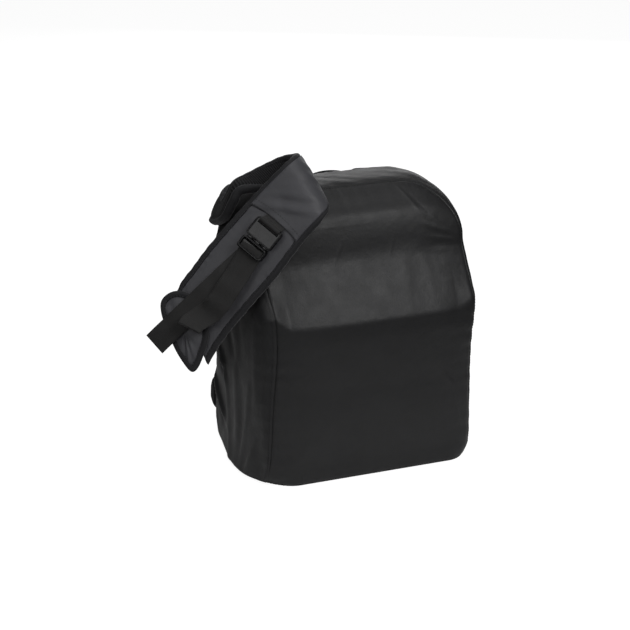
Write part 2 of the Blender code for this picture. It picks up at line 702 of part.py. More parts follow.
def end_tab(swing):
    """Leaf-shaped padded tab sewn over the strap's end, with a bound edge."""
    long_axis, short_axis = END_TAB_SEMI_AXES

    def leaf(shrink):
        points = []
        for step in range(36):
            angle = 2 * math.pi * step / 36
            cosine, sine = math.cos(angle), math.sin(angle)
            x = (long_axis - shrink) * math.copysign(abs(cosine) ** 0.8, cosine)
            y = (short_axis - shrink) * math.copysign(abs(sine) ** 0.8, sine)
            turned_x = x * math.cos(END_TAB_TURN) - y * math.sin(END_TAB_TURN)
            turned_y = x * math.sin(END_TAB_TURN) + y * math.cos(END_TAB_TURN)
            points.append((END_TAB_CENTRE[0] + turned_x, END_TAB_CENTRE[1] + turned_y))
        return points

    tab = strap_plate("end_tab", leaf(0.0045), 0.0074, 0.0117, STRAP_NYLON)
    rim = strap_plate("end_tab_binding", leaf(0.0), 0.0072, 0.0121, BINDING)
    combine(rim, as_cutter(strap_plate("end_tab_room", leaf(0.0042), 0.0060, 0.0135, None)))
    hang(tab, swing)
    hang(rim, swing)


def buckle(swing):
    """Side-release buckle: socket on the strap, plug with two springy prongs on the free webbing."""
    frame = strap_frame()
    half = BUCKLE_HALF_WIDTH
    socket = box("buckle_socket", (-half, -0.004, BUCKLE_LOW), (half, 0.018, BUCKLE_HIGH),
                 BUCKLE_PLASTIC, 0.0012, frame)
    cuts = (
        ((-0.0126, -0.006, 0.0090), (0.0126, 0.009, 0.0136)),
        ((-0.0200, -0.001, 0.0094), (0.0200, 0.007, 0.0132)),
        ((-0.0129, 0.012, 0.0), (0.0129, 0.0152, 0.020)),
    )
    for number, (low, high) in enumerate(cuts):
        combine(socket, cutter_box("socket_cut_%d" % number, low, high, frame))
    hang(socket, swing)

    release = pivot("buckle_slide", on_strap(0.0, -0.0054, 0.0113), swing)
    plug = box("buckle_plug", (-0.0150, -0.018, 0.0080), (0.0150, -0.0054, 0.0145),
               BUCKLE_PLASTIC, 0.0012, frame)
    for number, (low, high) in enumerate(((-0.0097, -0.0074), (-0.0150, -0.0124))):
        slot = cutter_box("plug_slot_%d" % number, (-0.0129, low, 0.0), (0.0129, high, 0.020), frame)
        combine(plug, slot)
    tongue = box("plug_tongue", (-0.0022, -0.0060, 0.0103), (0.0022, 0.0075, 0.0123), None, 0.0, frame)
    combine(plug, as_cutter(tongue), "UNION")
    hang(plug, release)

    for name, sign in (("prong_left", -1.0), ("prong_right", 1.0)):
        points = [(sign * across, up) for across, up in PRONG_OUTLINE]
        prong = strap_plate(name, points, 0.0093, 0.0133, BUCKLE_PLASTIC)
        hang(prong, pivot(name + "_squeeze", on_strap(sign * 0.0093, -0.0046, 0.0113), release))
    return release


def webbing_pieces(swing, release):
    """Loop that holds the socket, and the two lengths of webbing that leave the plug."""
    points = smooth_path([on_strap(*place) for place in SOCKET_LOOP], 18)
    hang(strip("socket_loop", points, ACROSS, 0.0245, 0.0011, WEBBING), swing)

    size = (WEBBING_WIDTH, WEBBING_THICKNESS, WEBBING)
    points = smooth_path([on_strap(*place) for place in FREE_WEBBING], 16)
    hang(strip("webbing_lower", points, ACROSS + UP_STRAP * 0.10, *size), release)
    points = smooth_path([on_strap(*place) for place in WEBBING_TAIL], 20)
    hang(strip("webbing_tail", points, ACROSS, *size), release)


# ---------------------------------------------------------------- the whole bag
cover_front_panel()
cover_gusset()
cover_hem()
body_shell()
inner_boards()
dividers()
front_pocket()
back_lid()
lumbar_pad()
lid_zip()
yoke_and_handle()
lower_anchor()
STRAP_SWING = sling_strap()
strap_root()
end_tab(STRAP_SWING)
BUCKLE_RELEASE = buckle(STRAP_SWING)
webbing_pieces(STRAP_SWING, BUCKLE_RELEASE)
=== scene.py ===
"""Looks of a sling camera bag in its rain cover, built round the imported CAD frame.

Units are metres, +Z is up, the front of the bag looks along -Y and its base is at z 0.
"""

import math

import bpy
import numpy as np
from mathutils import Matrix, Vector


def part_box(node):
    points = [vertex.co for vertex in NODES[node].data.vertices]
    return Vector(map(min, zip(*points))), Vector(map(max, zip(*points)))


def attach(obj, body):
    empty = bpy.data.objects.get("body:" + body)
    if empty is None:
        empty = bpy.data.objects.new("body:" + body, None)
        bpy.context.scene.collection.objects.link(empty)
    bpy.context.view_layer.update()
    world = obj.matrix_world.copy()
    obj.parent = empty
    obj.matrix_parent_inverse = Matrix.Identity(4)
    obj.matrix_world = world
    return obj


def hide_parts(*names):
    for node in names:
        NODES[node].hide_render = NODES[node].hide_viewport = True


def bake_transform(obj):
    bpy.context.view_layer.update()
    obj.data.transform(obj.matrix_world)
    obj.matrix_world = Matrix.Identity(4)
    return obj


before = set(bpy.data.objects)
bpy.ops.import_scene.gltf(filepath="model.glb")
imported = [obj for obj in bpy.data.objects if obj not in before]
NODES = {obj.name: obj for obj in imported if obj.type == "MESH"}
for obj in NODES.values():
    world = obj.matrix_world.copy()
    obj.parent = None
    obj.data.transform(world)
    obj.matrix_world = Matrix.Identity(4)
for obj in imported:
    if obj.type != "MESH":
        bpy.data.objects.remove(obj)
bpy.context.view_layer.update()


# ---------------------------------------------------------------- shader nodes
class Tree:
    """A tree of shader nodes, with short ways of adding to it."""

    def __init__(self, tree):
        self.tree = tree

    def node(self, kind, **inputs):
        made = self.tree.nodes.new(kind)
        for key, value in inputs.items():
            self.set(made, key, value)
        return made

    def set(self, node, key, value):
        """Link or set an input, by its name or as i and its number."""
        target = node.inputs[int(key[1:])] if key[0] == "i" and key[1:].isdigit() else node.inputs[key]
        if isinstance(value, bpy.types.NodeSocket):
            self.tree.links.new(value, target)
        else:
            target.default_value = value

    def coordinates(self, kind):
        return self.node("ShaderNodeTexCoord").outputs[kind]

    def split(self, vector):
        return self.node("ShaderNodeSeparateXYZ", i0=vector).outputs

    def map_range(self, value, limits):
        """A value carried from the first pair of limits to the second pair."""
        inputs = {"i%d" % number: limit for number, limit in enumerate(limits, 1)}
        return self.node("ShaderNodeMapRange", i0=value, **inputs).outputs[0]


# ---------------------------------------------------------------- camera, floor and light
LIGHTS = (
    # name, place, width and height, power
    ("overhead", (-0.1, 0.1, 1.9), (2.0, 1.5), 12.0),
    ("front_key", (0.46, -1.20, 1.28), (0.9, 0.6), 12.0),
    ("left_fill", (-1.45, -1.25, 1.10), (0.9, 0.9), 8.0),
    ("back_fill", (0.95, 1.75, 0.48), (1.2, 0.7), 4.0),
)
LIGHT_AIM = Vector((0.0, 0.0, 0.15))
SKY_RISE = (0.15, 0.95, 0.24, 0.45)  # from and to this height of direction, the sky's strength from and to
FLOOR_FADE = (0.30, 0.50, 0.98, 0.04)  # from and to this distance, the floor's paleness from and to
FLOOR_CORNERS = ((-4, -4, -0.0004), (4, -4, -0.0004), (4, 4, -0.0004), (-4, 4, -0.0004))
FLOOR_GREY, FLOOR_GLOW = 0.34, 0.93


def stand(name, data, place, direction):
    """Put a camera or a lamp in the scene, facing along a direction."""
    thing = bpy.data.objects.new(name, data)
    bpy.context.scene.collection.objects.link(thing)
    thing.location = place
    thing.rotation_mode = "QUATERNION"
    thing.rotation_quaternion = direction.to_track_quat("-Z", "Y")
    return thing


def aim_camera():
    """The camera, from the front left and a little above."""
    azimuth, elevation, distance = math.radians(-22.0), math.radians(20.0), 2.2
    target = Vector((-0.0300, 0.0117, 0.1490))
    towards = Vector((
        math.sin(azimuth) * math.cos(elevation),
        -math.cos(azimuth) * math.cos(elevation),
        math.sin(elevation),
    ))
    data = bpy.data.cameras.new("camera")
    data.lens = 118.5
    data.sensor_width = 36.0
    bpy.context.scene.camera = stand("camera", data, target + towards * distance, -towards)


def area_light(name, place, size, power):
    data = bpy.data.lights.new(name, "AREA")
    data.shape = "RECTANGLE"
    data.size, data.size_y = size
    data.energy = power
    stand(name, data, place, LIGHT_AIM - Vector(place))


def two_looks(graph, around, seen, output):
    """One shader for the light round the bag, and another where the stage is seen directly."""
    ray = graph.node("ShaderNodeLightPath").outputs["Is Camera Ray"]
    chosen = graph.node("ShaderNodeMixShader", i0=ray, i1=around.outputs[0], i2=seen.outputs[0])
    graph.set(graph.tree.nodes[output], "Surface", chosen.outputs[0])


def studio():
    """Soft light from above and a pale floor; what the cover mirrors low in front is dark."""
    world = bpy.data.worlds.new("studio")
    bpy.context.scene.world = world
    world.use_nodes = True
    sky = Tree(world.node_tree)
    around = sky.tree.nodes["Background"]
    seen = sky.node("ShaderNodeBackground", Color=(1.0, 1.0, 1.0, 1.0))
    height = sky.split(sky.coordinates("Generated"))["Z"]
    sky.set(around, "Strength", sky.map_range(height, SKY_RISE))
    two_looks(sky, around, seen, "World Output")
    bpy.context.scene.view_settings.view_transform = "Standard"

    floor = link("floor", bpy.data.meshes.new("floor"), pale_floor())
    floor.data.from_pydata(FLOOR_CORNERS, [], [(0, 1, 2, 3)])
    for light in LIGHTS:
        area_light(*light)


def pale_floor():
    """White close to the bag and dimmer further off, but evenly pale where it is seen directly."""
    material = bpy.data.materials.new("pale_floor")
    material.use_nodes = True
    g = Tree(material.node_tree)
    g.tree.nodes.remove(g.tree.nodes["Principled BSDF"])
    length = g.node("ShaderNodeVectorMath", i0=g.coordinates("Object"))
    length.operation = "LENGTH"
    around = g.node("ShaderNodeBsdfDiffuse", Color=g.map_range(length.outputs["Value"], FLOOR_FADE))
    seen = g.node("ShaderNodeBsdfDiffuse", Color=(FLOOR_GREY, FLOOR_GREY, FLOOR_GREY, 1.0))
    glow = g.node("ShaderNodeEmission", Strength=FLOOR_GLOW)
    both = g.node("ShaderNodeAddShader", i0=seen.outputs[0], i1=glow.outputs[0])
    two_looks(g, around, both, "Material Output")
    return material


# ---------------------------------------------------------------- materials
class Graph(Tree):
    """A material's nodes."""

    def __init__(self, name, colour, roughness, specular, sheen=0.0):
        self.material = bpy.data.materials.new(name)
        self.material.use_nodes = True
        self.material.diffuse_color = (*colour, 1.0)
        super().__init__(self.material.node_tree)
        self.shader = self.tree.nodes["Principled BSDF"]
        for key, value in (("Base Color", (*colour, 1.0)), ("Roughness", roughness),
                           ("Specular IOR Level", specular), ("Sheen Weight", sheen),
                           ("Sheen Roughness", 0.4)):
            self.set(self.shader, key, value)
        self.last_bump = None

    def math(self, operation, a, b=0.0):
        made = self.node("ShaderNodeMath", i0=a, i1=b)
        made.operation = operation
        return made.outputs[0]

    def noise(self, vector, scale, detail=3.0, roughness=0.55):
        made = self.node("ShaderNodeTexNoise", Vector=vector, Scale=scale, Detail=detail, Roughness=roughness)
        return made.outputs["Fac"]

    def wave(self, value, pitch, phase=0.0):
        """A sine of a coordinate, from 0 to 1."""
        turned = self.math("MULTIPLY", value, 2.0 * math.pi / pitch)
        turned = self.math("ADD", turned, phase)
        sine = self.math("SINE", turned)
        return self.math("ADD", self.math("MULTIPLY", sine, 0.5), 0.5)

    def mottle(self, factor, dark, light):
        ramp = self.node("ShaderNodeMix", i0=factor)
        ramp.data_type = "RGBA"
        colours = [socket for socket in ramp.inputs if socket.type == "RGBA"]
        colours[0].default_value = (*dark, 1.0)
        colours[1].default_value = (*light, 1.0)
        result = next(socket for socket in ramp.outputs if socket.type == "RGBA")
        self.set(self.shader, "Base Color", result)

    def rough(self, factor, low, high):
        self.set(self.shader, "Roughness", self.map_range(factor, (0.0, 1.0, low, high)))

    def grain(self, place, scale, detail, strength, distance, roughness=0.55):
        self.bump(self.noise(place, scale, detail, roughness), strength, distance)

    def bump(self, height, strength, distance):
        made = self.node("ShaderNodeBump", Strength=strength, Distance=distance, Height=height)
        if self.last_bump is not None:
            self.set(made, "Normal", self.last_bump)
        self.last_bump = made.outputs["Normal"]
        self.set(self.shader, "Normal", self.last_bump)


def shade(colour, factor):
    return tuple(channel * factor for channel in colour)


def coated_nylon(name, colour, roughness):
    """Thin coated nylon: satin, with faint crinkles and a weave almost too fine to see."""
    pitch = 0.00062
    g = Graph(name, colour, roughness, specular=0.30, sheen=0.03)
    place = g.coordinates("Object")
    g.mottle(g.noise(place, 22.0, 4.0), shade(colour, 0.84), shade(colour, 1.18))
    g.rough(g.noise(place, 60.0, 3.0), roughness - 0.08, roughness + 0.10)
    x, y, z = g.split(place)[:3]
    weave = g.math("MULTIPLY", g.wave(g.math("ADD", x, y), pitch), g.wave(z, pitch))
    g.grain(place, 130.0, 4.0, 0.35, 0.0009, roughness=0.6)
    g.grain(place, 620.0, 2.0, 0.30, 0.00022)
    g.bump(weave, 0.22, 0.00008)
    return g.material


def woven(name, colour, roughness, along, across, depth, kind="UV", sheen=0.15, diagonal=False):
    """A woven face with yarns of those pitches."""
    g = Graph(name, colour, roughness, specular=0.28, sheen=sheen)
    u, v, w = g.split(g.coordinates(kind))[:3]
    if kind == "Object":
        u, v = g.math("ADD", u, v), w
    if diagonal:
        u, v = g.math("ADD", u, v), g.math("SUBTRACT", u, v)
    weave = g.math("MULTIPLY", g.wave(u, along), g.wave(v, across))
    place = g.coordinates("Object")
    patches = g.noise(place, 35.0, 4.0)
    mixed = g.math("ADD", g.math("MULTIPLY", patches, 0.55), g.math("MULTIPLY", weave, 0.45))
    g.mottle(mixed, shade(colour, 0.776), shade(colour, 1.224))
    g.rough(patches, roughness - 0.06, roughness + 0.08)
    g.grain(place, 150.0, 3.0, 0.25, 0.0007)
    g.bump(weave, 0.7, depth)
    g.grain(place, 900.0, 2.0, 0.25, 0.0001)
    return g.material


def webbing_material(name, colour):
    """Flat webbing: ribs across it, and finer cords along it."""
    rib_pitch, cord_pitch = 0.0011, 0.0016
    g = Graph(name, colour, 0.72, specular=0.22, sheen=0.08)
    u, v = g.split(g.coordinates("UV"))[:2]
    crossing = g.math("MULTIPLY", g.wave(u, rib_pitch), g.wave(v, cord_pitch))
    slant = g.math("ADD", u, g.math("MULTIPLY", g.math("ABSOLUTE", v), 0.8))
    weave = g.math("ADD", g.math("MULTIPLY", crossing, 0.6),
                   g.math("MULTIPLY", g.wave(slant, rib_pitch), 0.4))
    place = g.coordinates("Object")
    patches = g.noise(place, 60.0, 3.0)
    g.mottle(g.math("ADD", g.math("MULTIPLY", patches, 0.4), g.math("MULTIPLY", weave, 0.6)),
             shade(colour, 0.70), shade(colour, 1.35))
    g.bump(weave, 0.8, 0.00022)
    g.grain(place, 1200.0, 2.0, 0.3, 0.0001)
    return g.material


def air_mesh_material(name, colour, kind="UV"):
    """Spacer mesh: ribs across the piece with rows of small holes between them, with painted shade in the
    holes and between the ribs.
    """
    pitch = 0.0026
    g = Graph(name, colour, 0.85, specular=0.20, sheen=0.06)
    u, v, w = g.split(g.coordinates(kind))[:3]
    if kind == "Object":
        v = w
    ribs = g.wave(u, pitch)
    holes = g.math("MULTIPLY", g.wave(u, pitch, 1.5), g.wave(v, pitch * 0.75))
    relief_and_painted_shade = g.math("SUBTRACT", ribs, g.math("MULTIPLY", g.math("POWER", holes, 3.0), 0.7))
    # painted shade: the colour is darkest in the holes and between the ribs, and lightest on the ribs' tops
    g.mottle(relief_and_painted_shade, shade(colour, 0.35), shade(colour, 1.9))
    g.bump(relief_and_painted_shade, 0.9, 0.0006)
    g.grain(g.coordinates("Object"), 1000.0, 2.0, 0.4, 0.00012)
    return g.material


def moulded(name, colour, roughness, specular=0.5, metallic=0.0):
    """Moulded plastic or cast metal with a fine grain and slightly uneven gloss."""
    g = Graph(name, colour, roughness, specular)
    g.shader.inputs["Metallic"].default_value = metallic
    place = g.coordinates("Object")
    patches = g.noise(place, 120.0, 3.0)
    g.mottle(patches, shade(colour, 0.88), shade(colour, 1.15))
    g.rough(patches, roughness - 0.05, roughness + 0.08)
    g.grain(place, 900.0, 2.0, 0.18, 0.00006)
    return g.material


COVER_NYLON = coated_nylon("cover_nylon_look", (0.0190, 0.0190, 0.0198), 0.46)
STRAP_NYLON = woven("strap_nylon_look", (0.070, 0.070, 0.077), 0.43, 0.0012, 0.0012, 0.00012,
                    sheen=0.05, diagonal=True)
BODY_NYLON = woven("body_nylon_look", (0.026, 0.026, 0.028), 0.68, 0.0010, 0.0010, 0.00012, kind="Object")
BINDING = woven("binding_look", (0.017, 0.017, 0.019), 0.7, 0.0011, 0.0022, 0.00016)
BINDING_OBJECT = woven("binding_object_look", (0.017, 0.017, 0.019), 0.7, 0.0011, 0.0022, 0.00016,
                       kind="Object")
WEBBING = webbing_material("webbing_look", (0.0230, 0.0226, 0.0224))
AIR_MESH = air_mesh_material("air_mesh_look", (0.011, 0.011, 0.012))
# painted light: the back pads' copy of the air mesh is lighter than the strap's, standing in for the weak
# light behind the bag
AIR_MESH_OBJECT_PAINTED_LIGHTER = air_mesh_material("air_mesh_object_painted_lighter_look", (0.019, 0.019, 0.020), kind="Object")
THREAD = moulded("thread_look", (0.040, 0.040, 0.043), 0.6, specular=0.3)
COVER_THREAD = moulded("cover_thread_look", (0.013, 0.013, 0.014), 0.6, specular=0.2)
BUCKLE_PLASTIC = moulded("buckle_plastic_look", (0.0045, 0.0045, 0.0050), 0.24, specular=0.24)
BOARD_PLASTIC = moulded("board_plastic_look", (0.030, 0.030, 0.032), 0.5)
ZIP_COIL = moulded("zip_coil_look", (0.012, 0.012, 0.013), 0.4)
ZIP_METAL = moulded("zip_metal_look", (0.050, 0.050, 0.054), 0.38, metallic=0.85)
DIVIDER_CLOTH = woven("divider_cloth_look", (0.085, 0.087, 0.094), 0.9, 0.0009, 0.0009, 0.00016,
                      kind="Object", sheen=0.5)


# ---------------------------------------------------------------- mesh helpers
def link(name, mesh, material):
    thing = bpy.data.objects.new(name, mesh)
    bpy.context.scene.collection.objects.link(thing)
    if material is not None:
        mesh.materials.append(material)
    return thing


def dress(piece, slot, body, *nodes, fill=None):
    """A piece's finish (not used), the body it rides on, the CAD solids it stands for, and how full a pad is
    (not used).
    """
    if body:
        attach(piece, body)
    if nodes:
        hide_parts(*nodes)
    return piece


def grid(name, points, uv, material, wrap=False, caps=False):
    """A smooth surface through a grid of points.  wrap joins each row's end to its start."""
    points, uv = np.asarray(points, dtype=float), np.asarray(uv, dtype=float)
    rows, columns = points.shape[:2]
    faces, loops = [], []
    for row in range(rows - 1):
        for column in range(columns if wrap else columns - 1):
            after = (column + 1) % columns
            face = [(row, column), (row, after), (row + 1, after), (row + 1, column)]
            faces.append([r * columns + c for r, c in face])
            loops.extend([(row, column), (row, column + 1), (row + 1, column + 1), (row + 1, column)])
    if caps:
        last = (rows - 1) * columns
        faces += [list(range(columns))[::-1], list(range(last, last + columns))]
        loops += [(0, c) for c in range(columns)][::-1] + [(rows - 1, c) for c in range(columns)]
    mesh = bpy.data.meshes.new(name)
    mesh.from_pydata(points.reshape(-1, 3).tolist(), [], faces)
    layer = mesh.uv_layers.new(name="UVMap")
    if uv.shape[1] == columns and wrap:
        uv = np.concatenate([uv, uv[:, :1] + (uv[:, -1:] - uv[:, -2:-1])], axis=1)
    where = np.array(loops)
    corners = uv[where[:, 0], np.minimum(where[:, 1], uv.shape[1] - 1)]
    layer.data.foreach_set("uv", corners.astype(np.float32).ravel())
    mesh.shade_smooth()
    return link(name, mesh, material)


def unit(vectors):
    return vectors / np.maximum(np.linalg.norm(vectors, axis=-1, keepdims=True), 1e-9)


def normals_of(points):
    """Unit normals of a grid of points."""
    down, along = np.gradient(points, axis=0), np.gradient(points, axis=1)
    return unit(np.cross(along, down))


def closed_tangent(ring):
    """Unit directions along a closed ring of points."""
    return unit(np.roll(ring, -1, axis=0) - np.roll(ring, 1, axis=0))


def uv_grid(down, across):
    """Texture places of a grid, from its rows' and its columns' distances."""
    return np.stack(np.meshgrid(down, across, indexing="ij"), axis=-1)


def arc(points):
    """Distance travelled from the first point to each one."""
    steps = np.linalg.norm(np.diff(points, axis=0), axis=-1)
    return np.concatenate([np.zeros((1,) + steps.shape[1:]), np.cumsum(steps, axis=0)])


def closed_arc(ring):
    """The same round a closed ring, with the step back to its start as well."""
    return arc(np.concatenate([ring, ring[:1]]))


def read_at(places, stations, values):
    """Three-part values given at some stations, read at other places between them."""
    return np.stack([np.interp(places, stations, part) for part in values.T], axis=1)


def curve_at(points, places):
    """A smooth curve through the points, read at places counted in points from the first."""
    points = np.array(points, dtype=float)
    slopes = np.gradient(points, axis=0)
    places = np.asarray(places, dtype=float)
    index = np.minimum(places.astype(int), len(points) - 2)
    t = (places - index).reshape((-1,) + (1,) * (points.ndim - 1))
    return (
        (2 * t**3 - 3 * t**2 + 1) * points[index] + (t**3 - 2 * t**2 + t) * slopes[index]
        + (3 * t**2 - 2 * t**3) * points[index + 1] + (t**3 - t**2) * slopes[index + 1]
    )


def even_places(points, count):
    """Places on curve_at's curve that are the same distance apart."""
    fine = np.linspace(0.0, len(points) - 1.0, 60 * len(points))
    travelled = arc(curve_at(points, fine))
    return np.interp(np.linspace(0.0, travelled[-1], count), travelled, fine)


def ramp(value, width):
    """From 0 to 1 as a value goes from 0 to a width."""
    return np.clip(value / width, 0.0, 1.0)


def fade(distance, width):
    """From 1 towards 0 with distance."""
    return np.exp(-distance / width)


def hump(value, width, power=2):
    """1 at 0, and close to 0 beyond a width on each side."""
    return np.exp(-(value / width) ** power)


def ripple(s, wavelength, seed):
    """An uneven wave of about that wavelength, from -1 to 1."""
    source = np.random.default_rng(seed)
    total = np.zeros_like(s)
    for _ in range(4):
        stretch = 1.0 + 0.35 * (source.random() * 2.0 - 1.0)
        total = total + np.sin(2.0 * math.pi * s / (wavelength * stretch) + 6.3 * source.random())
    return total / 2.6


def ridge(x, z, centre, angle, half_length, width, height):
    """A soft fold in a flat place: rounded across, fading out along its length."""
    turn = math.radians(angle)
    dx, dz = x - centre[0], z - centre[1]
    along = dx * math.cos(turn) + dz * math.sin(turn)
    aside = -dx * math.sin(turn) + dz * math.cos(turn)
    return height * hump(aside, width) * hump(along, half_length, 4)


def folded(x, z, folds, total):
    """Add to some heights the ridges of a table of folds."""
    return sum((ridge(x, z, *fold) for fold in folds), total)


def short_tubes(name, levels, material):
    """Many short closed tubes in one mesh; each level is a ring of corners, each for every tube."""
    sides = len(levels[0])
    points = np.stack([corner for ring in levels for corner in ring], axis=1).reshape(-1, 3)
    faces = []
    for base in range(0, len(points), sides * len(levels)):
        top = base + sides * (len(levels) - 1)
        for low in range(base, top, sides):
            for turn in range(sides):
                after = (turn + 1) % sides
                faces.append((low + turn, low + after, low + sides + after, low + sides + turn))
        faces += [tuple(range(base, base + sides))[::-1], tuple(range(top, top + sides))]
    mesh = bpy.data.meshes.new(name)
    mesh.from_pydata(points.tolist(), [], faces)
    return link(name, mesh, material)


def evenly(travelled, pitch):
    """The middles of as many steps of that pitch as fit."""
    count = max(int(travelled[-1] / pitch), 2)
    return (np.arange(count) + 0.5) * travelled[-1] / count


def stitches(name, path, normal, body, pitch=0.0032, length=0.0022, radius=0.00032, material=THREAD):
    """A row of short thread stitches along a path, lying on the surface it follows."""
    travelled = arc(path)
    middles = evenly(travelled, pitch)
    start, end = (read_at(middles + shift, travelled, path) for shift in (-length / 2, length / 2))
    up = unit(read_at(middles, travelled, normal))
    side = np.cross(unit(end - start), up)
    levels = []
    for share, thick, rise in ((0.0, 0.45, -0.6), (0.25, 1.0, 0.4), (0.75, 1.0, 0.4), (1.0, 0.45, -0.6)):
        middle = start + (end - start) * share + up * (radius * rise)
        levels.append([
            middle + side * (radius * thick * math.cos(angle)) + up * (radius * thick * math.sin(angle))
            for angle in 2.0 * math.pi * np.arange(5) / 5
        ])
    thing = short_tubes(name, levels, material)
    thing.data.shade_smooth()
    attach(thing, body)


def sweep(name, path, side, up, section, material, closed=False):
    """A closed section carried along a path.  section holds (side, up) offsets in metres."""
    rings = path[:, None] + side[:, None] * section[None, :, :1] + up[:, None] * section[None, :, 1:2]
    around = closed_arc(section)
    travelled = closed_arc(path) if closed else arc(path)
    if closed:
        rings = np.concatenate([rings, rings[:1]], axis=0)
    uv = uv_grid(travelled, around - around[-1] / 2)
    return grid(name, rings, uv, material, wrap=True, caps=not closed)


def ring_tube(name, path, up, section, material):
    """A section carried round a closed path that lies nearly flat, across the direction up."""
    up = np.repeat(up[None], len(path), axis=0)
    return sweep(name, path, np.cross(closed_tangent(path), up), up, section, material, closed=True)


def rounded_section(width, thickness):
    """Section of webbing: a flat bar with round edges."""
    radius = thickness / 2
    reach = width / 2 - radius
    half = [(reach + radius * math.cos(angle), radius * math.sin(angle))
            for angle in np.radians(np.linspace(-90.0, 90.0, 5))]
    half += [(x, radius) for x in np.linspace(reach, -reach, 8)[1:-1]]
    return np.concatenate([half, -np.array(half)])


def webbing(name, path, across, width, thickness, body, *nodes, samples=90, waver=0.0):
    """A length of webbing along a path, its width near one fixed direction."""
    path = curve_at(path, even_places(np.array(path, float), samples))
    across = unit(np.array(across, float))
    along = unit(np.gradient(path, axis=0))
    side = unit(across - along * (along @ across)[:, None])
    up = np.cross(side, along)
    if waver:
        path = path + up * (waver * ripple(arc(path), 0.03, 5))[:, None]
    thing = sweep(name, path, side, up, rounded_section(width, thickness), WEBBING)
    dress(thing, "webbing", body, *nodes)
    return thing, path, side, up


def baked(thing):
    """Replace an object's mesh by what its modifiers make of it."""
    bpy.context.view_layer.update()
    depsgraph = bpy.context.evaluated_depsgraph_get()
    mesh = bpy.data.meshes.new_from_object(thing.evaluated_get(depsgraph))
    thing.modifiers.clear()
    thing.data = mesh


def vertex_data(thing, kind="co"):
    values = np.zeros(len(thing.data.vertices) * 3)
    thing.data.vertices.foreach_get(kind, values)
    return values.reshape(-1, 3)


def move_vertices(thing, places):
    thing.data.vertices.foreach_set("co", places.astype(np.float32).ravel())


def soft_copy(node, material, body, slot, voxel, smooth, puff=0.0, fill=None, uneven=0.0004):
    """A soft piece in the space of a CAD solid: remeshed, rounded, and blown up a little if asked."""
    thing = link(node + "_soft", NODES[node].data.copy(), None)
    thing.data.materials.clear()
    thing.data.materials.append(material)
    remesh = thing.modifiers.new("remesh", "REMESH")
    remesh.mode = "VOXEL"
    remesh.voxel_size = voxel
    remesh.use_smooth_shade = True
    relax = thing.modifiers.new("relax", "SMOOTH")
    relax.factor = 0.6
    relax.iterations = smooth
    baked(thing)
    if puff:
        inflate(thing, puff)
    co = vertex_data(thing)
    wave = ripple(co[:, 0] + 0.4 * co[:, 2], 0.021, 3) * ripple(co[:, 2] - 0.3 * co[:, 1], 0.027, 9)
    move_vertices(thing, co + vertex_data(thing, "normal") * (wave * uneven)[:, None])
    thing.data.shade_smooth()
    dress(thing, slot, body, node, fill=fill)


def inflate(thing, most):
    """Swell a closed piece like a stuffed pad with a cloth simulation, held to a small distance."""
    last_frame = 16
    start = vertex_data(thing)
    cloth = thing.modifiers.new("cloth", "CLOTH")
    cloth.settings.use_pressure = True
    cloth.settings.uniform_pressure_force = 4.0
    cloth.settings.effector_weights.gravity = 0.0
    cloth.settings.quality = 4
    scene = bpy.context.scene
    scene.frame_start, scene.frame_end = 1, last_frame
    for step in range(1, last_frame + 1):
        scene.frame_set(step)
    baked(thing)
    scene.frame_set(1)
    shift = vertex_data(thing) - start
    far = np.linalg.norm(shift, axis=1)[:, None]
    move_vertices(thing, start + shift * np.minimum(1.0, most / np.maximum(far, 1e-9)))


# ---------------------------------------------------------------- rain cover
COVER_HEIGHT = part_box("cover_gusset")[1].z
LEDGE_HEIGHT, SHOULDER_HEIGHT = 0.172, 0.228
SEAM_SET_BACK = 0.0100
PROFILE_HEIGHTS = (0.000, 0.004, 0.014, 0.100, 0.158, 0.172, 0.179, 0.200, 0.228, 0.258,
                   0.277, 0.284, 0.2895, 0.294)
PROFILE_DEPTHS = (-0.0838, -0.0862, -0.0878, -0.0860, -0.0893, -0.0880, -0.0838, -0.0705, -0.0535, -0.0465,
                  -0.0418, -0.0335, -0.0220, 0.0000)
REAR_DEPTH, EDGE_DEPTH, CURL_DEPTH, HEM_DEPTH = 0.0700, 0.0855, 0.0872, 0.0880  # of the cover, behind
POCKET_ZIP_DEPTH = -0.045
BOTTOM_POINTS, CORNER_POINTS, SIDE_POINTS, ARC_POINTS, TOP_POINTS = 34, 14, 96, 60, 24


def profile_curves():
    """The front's side profile, once softly rounded and once nearly sharp."""
    soft_width, crisp_width, reach = 0.0050, 0.0020, 0.02
    heights = np.linspace(-0.03, 0.33, 1441)
    depths = np.interp(heights, PROFILE_HEIGHTS, PROFILE_DEPTHS)
    step = heights[1] - heights[0]
    offsets = np.arange(-reach, reach + step / 2, step)
    curves = []
    for width in (soft_width, crisp_width):
        kernel = np.exp(-(offsets / width) ** 2 / 2)
        kernel /= kernel.sum()
        curves.append(np.convolve(np.pad(depths, len(offsets) // 2, mode="edge"), kernel, "valid"))
    return heights, curves


HEIGHTS, (SOFT_PROFILE, CRISP_PROFILE) = profile_curves()


def front_depth(z):
    """Depth of the front for a height, rounded softly at the crown and crisply at the ledge."""
    at_ledge = hump(z - LEDGE_HEIGHT, 0.009, 4)
    between = ramp(z - 0.012, 0.01) * ramp(0.285 - z, 0.01)
    crisp = np.interp(z, HEIGHTS, CRISP_PROFILE)
    soft = between * np.interp(z, HEIGHTS, SOFT_PROFILE) + (1 - between) * crisp
    return at_ledge * crisp + (1 - at_ledge) * soft


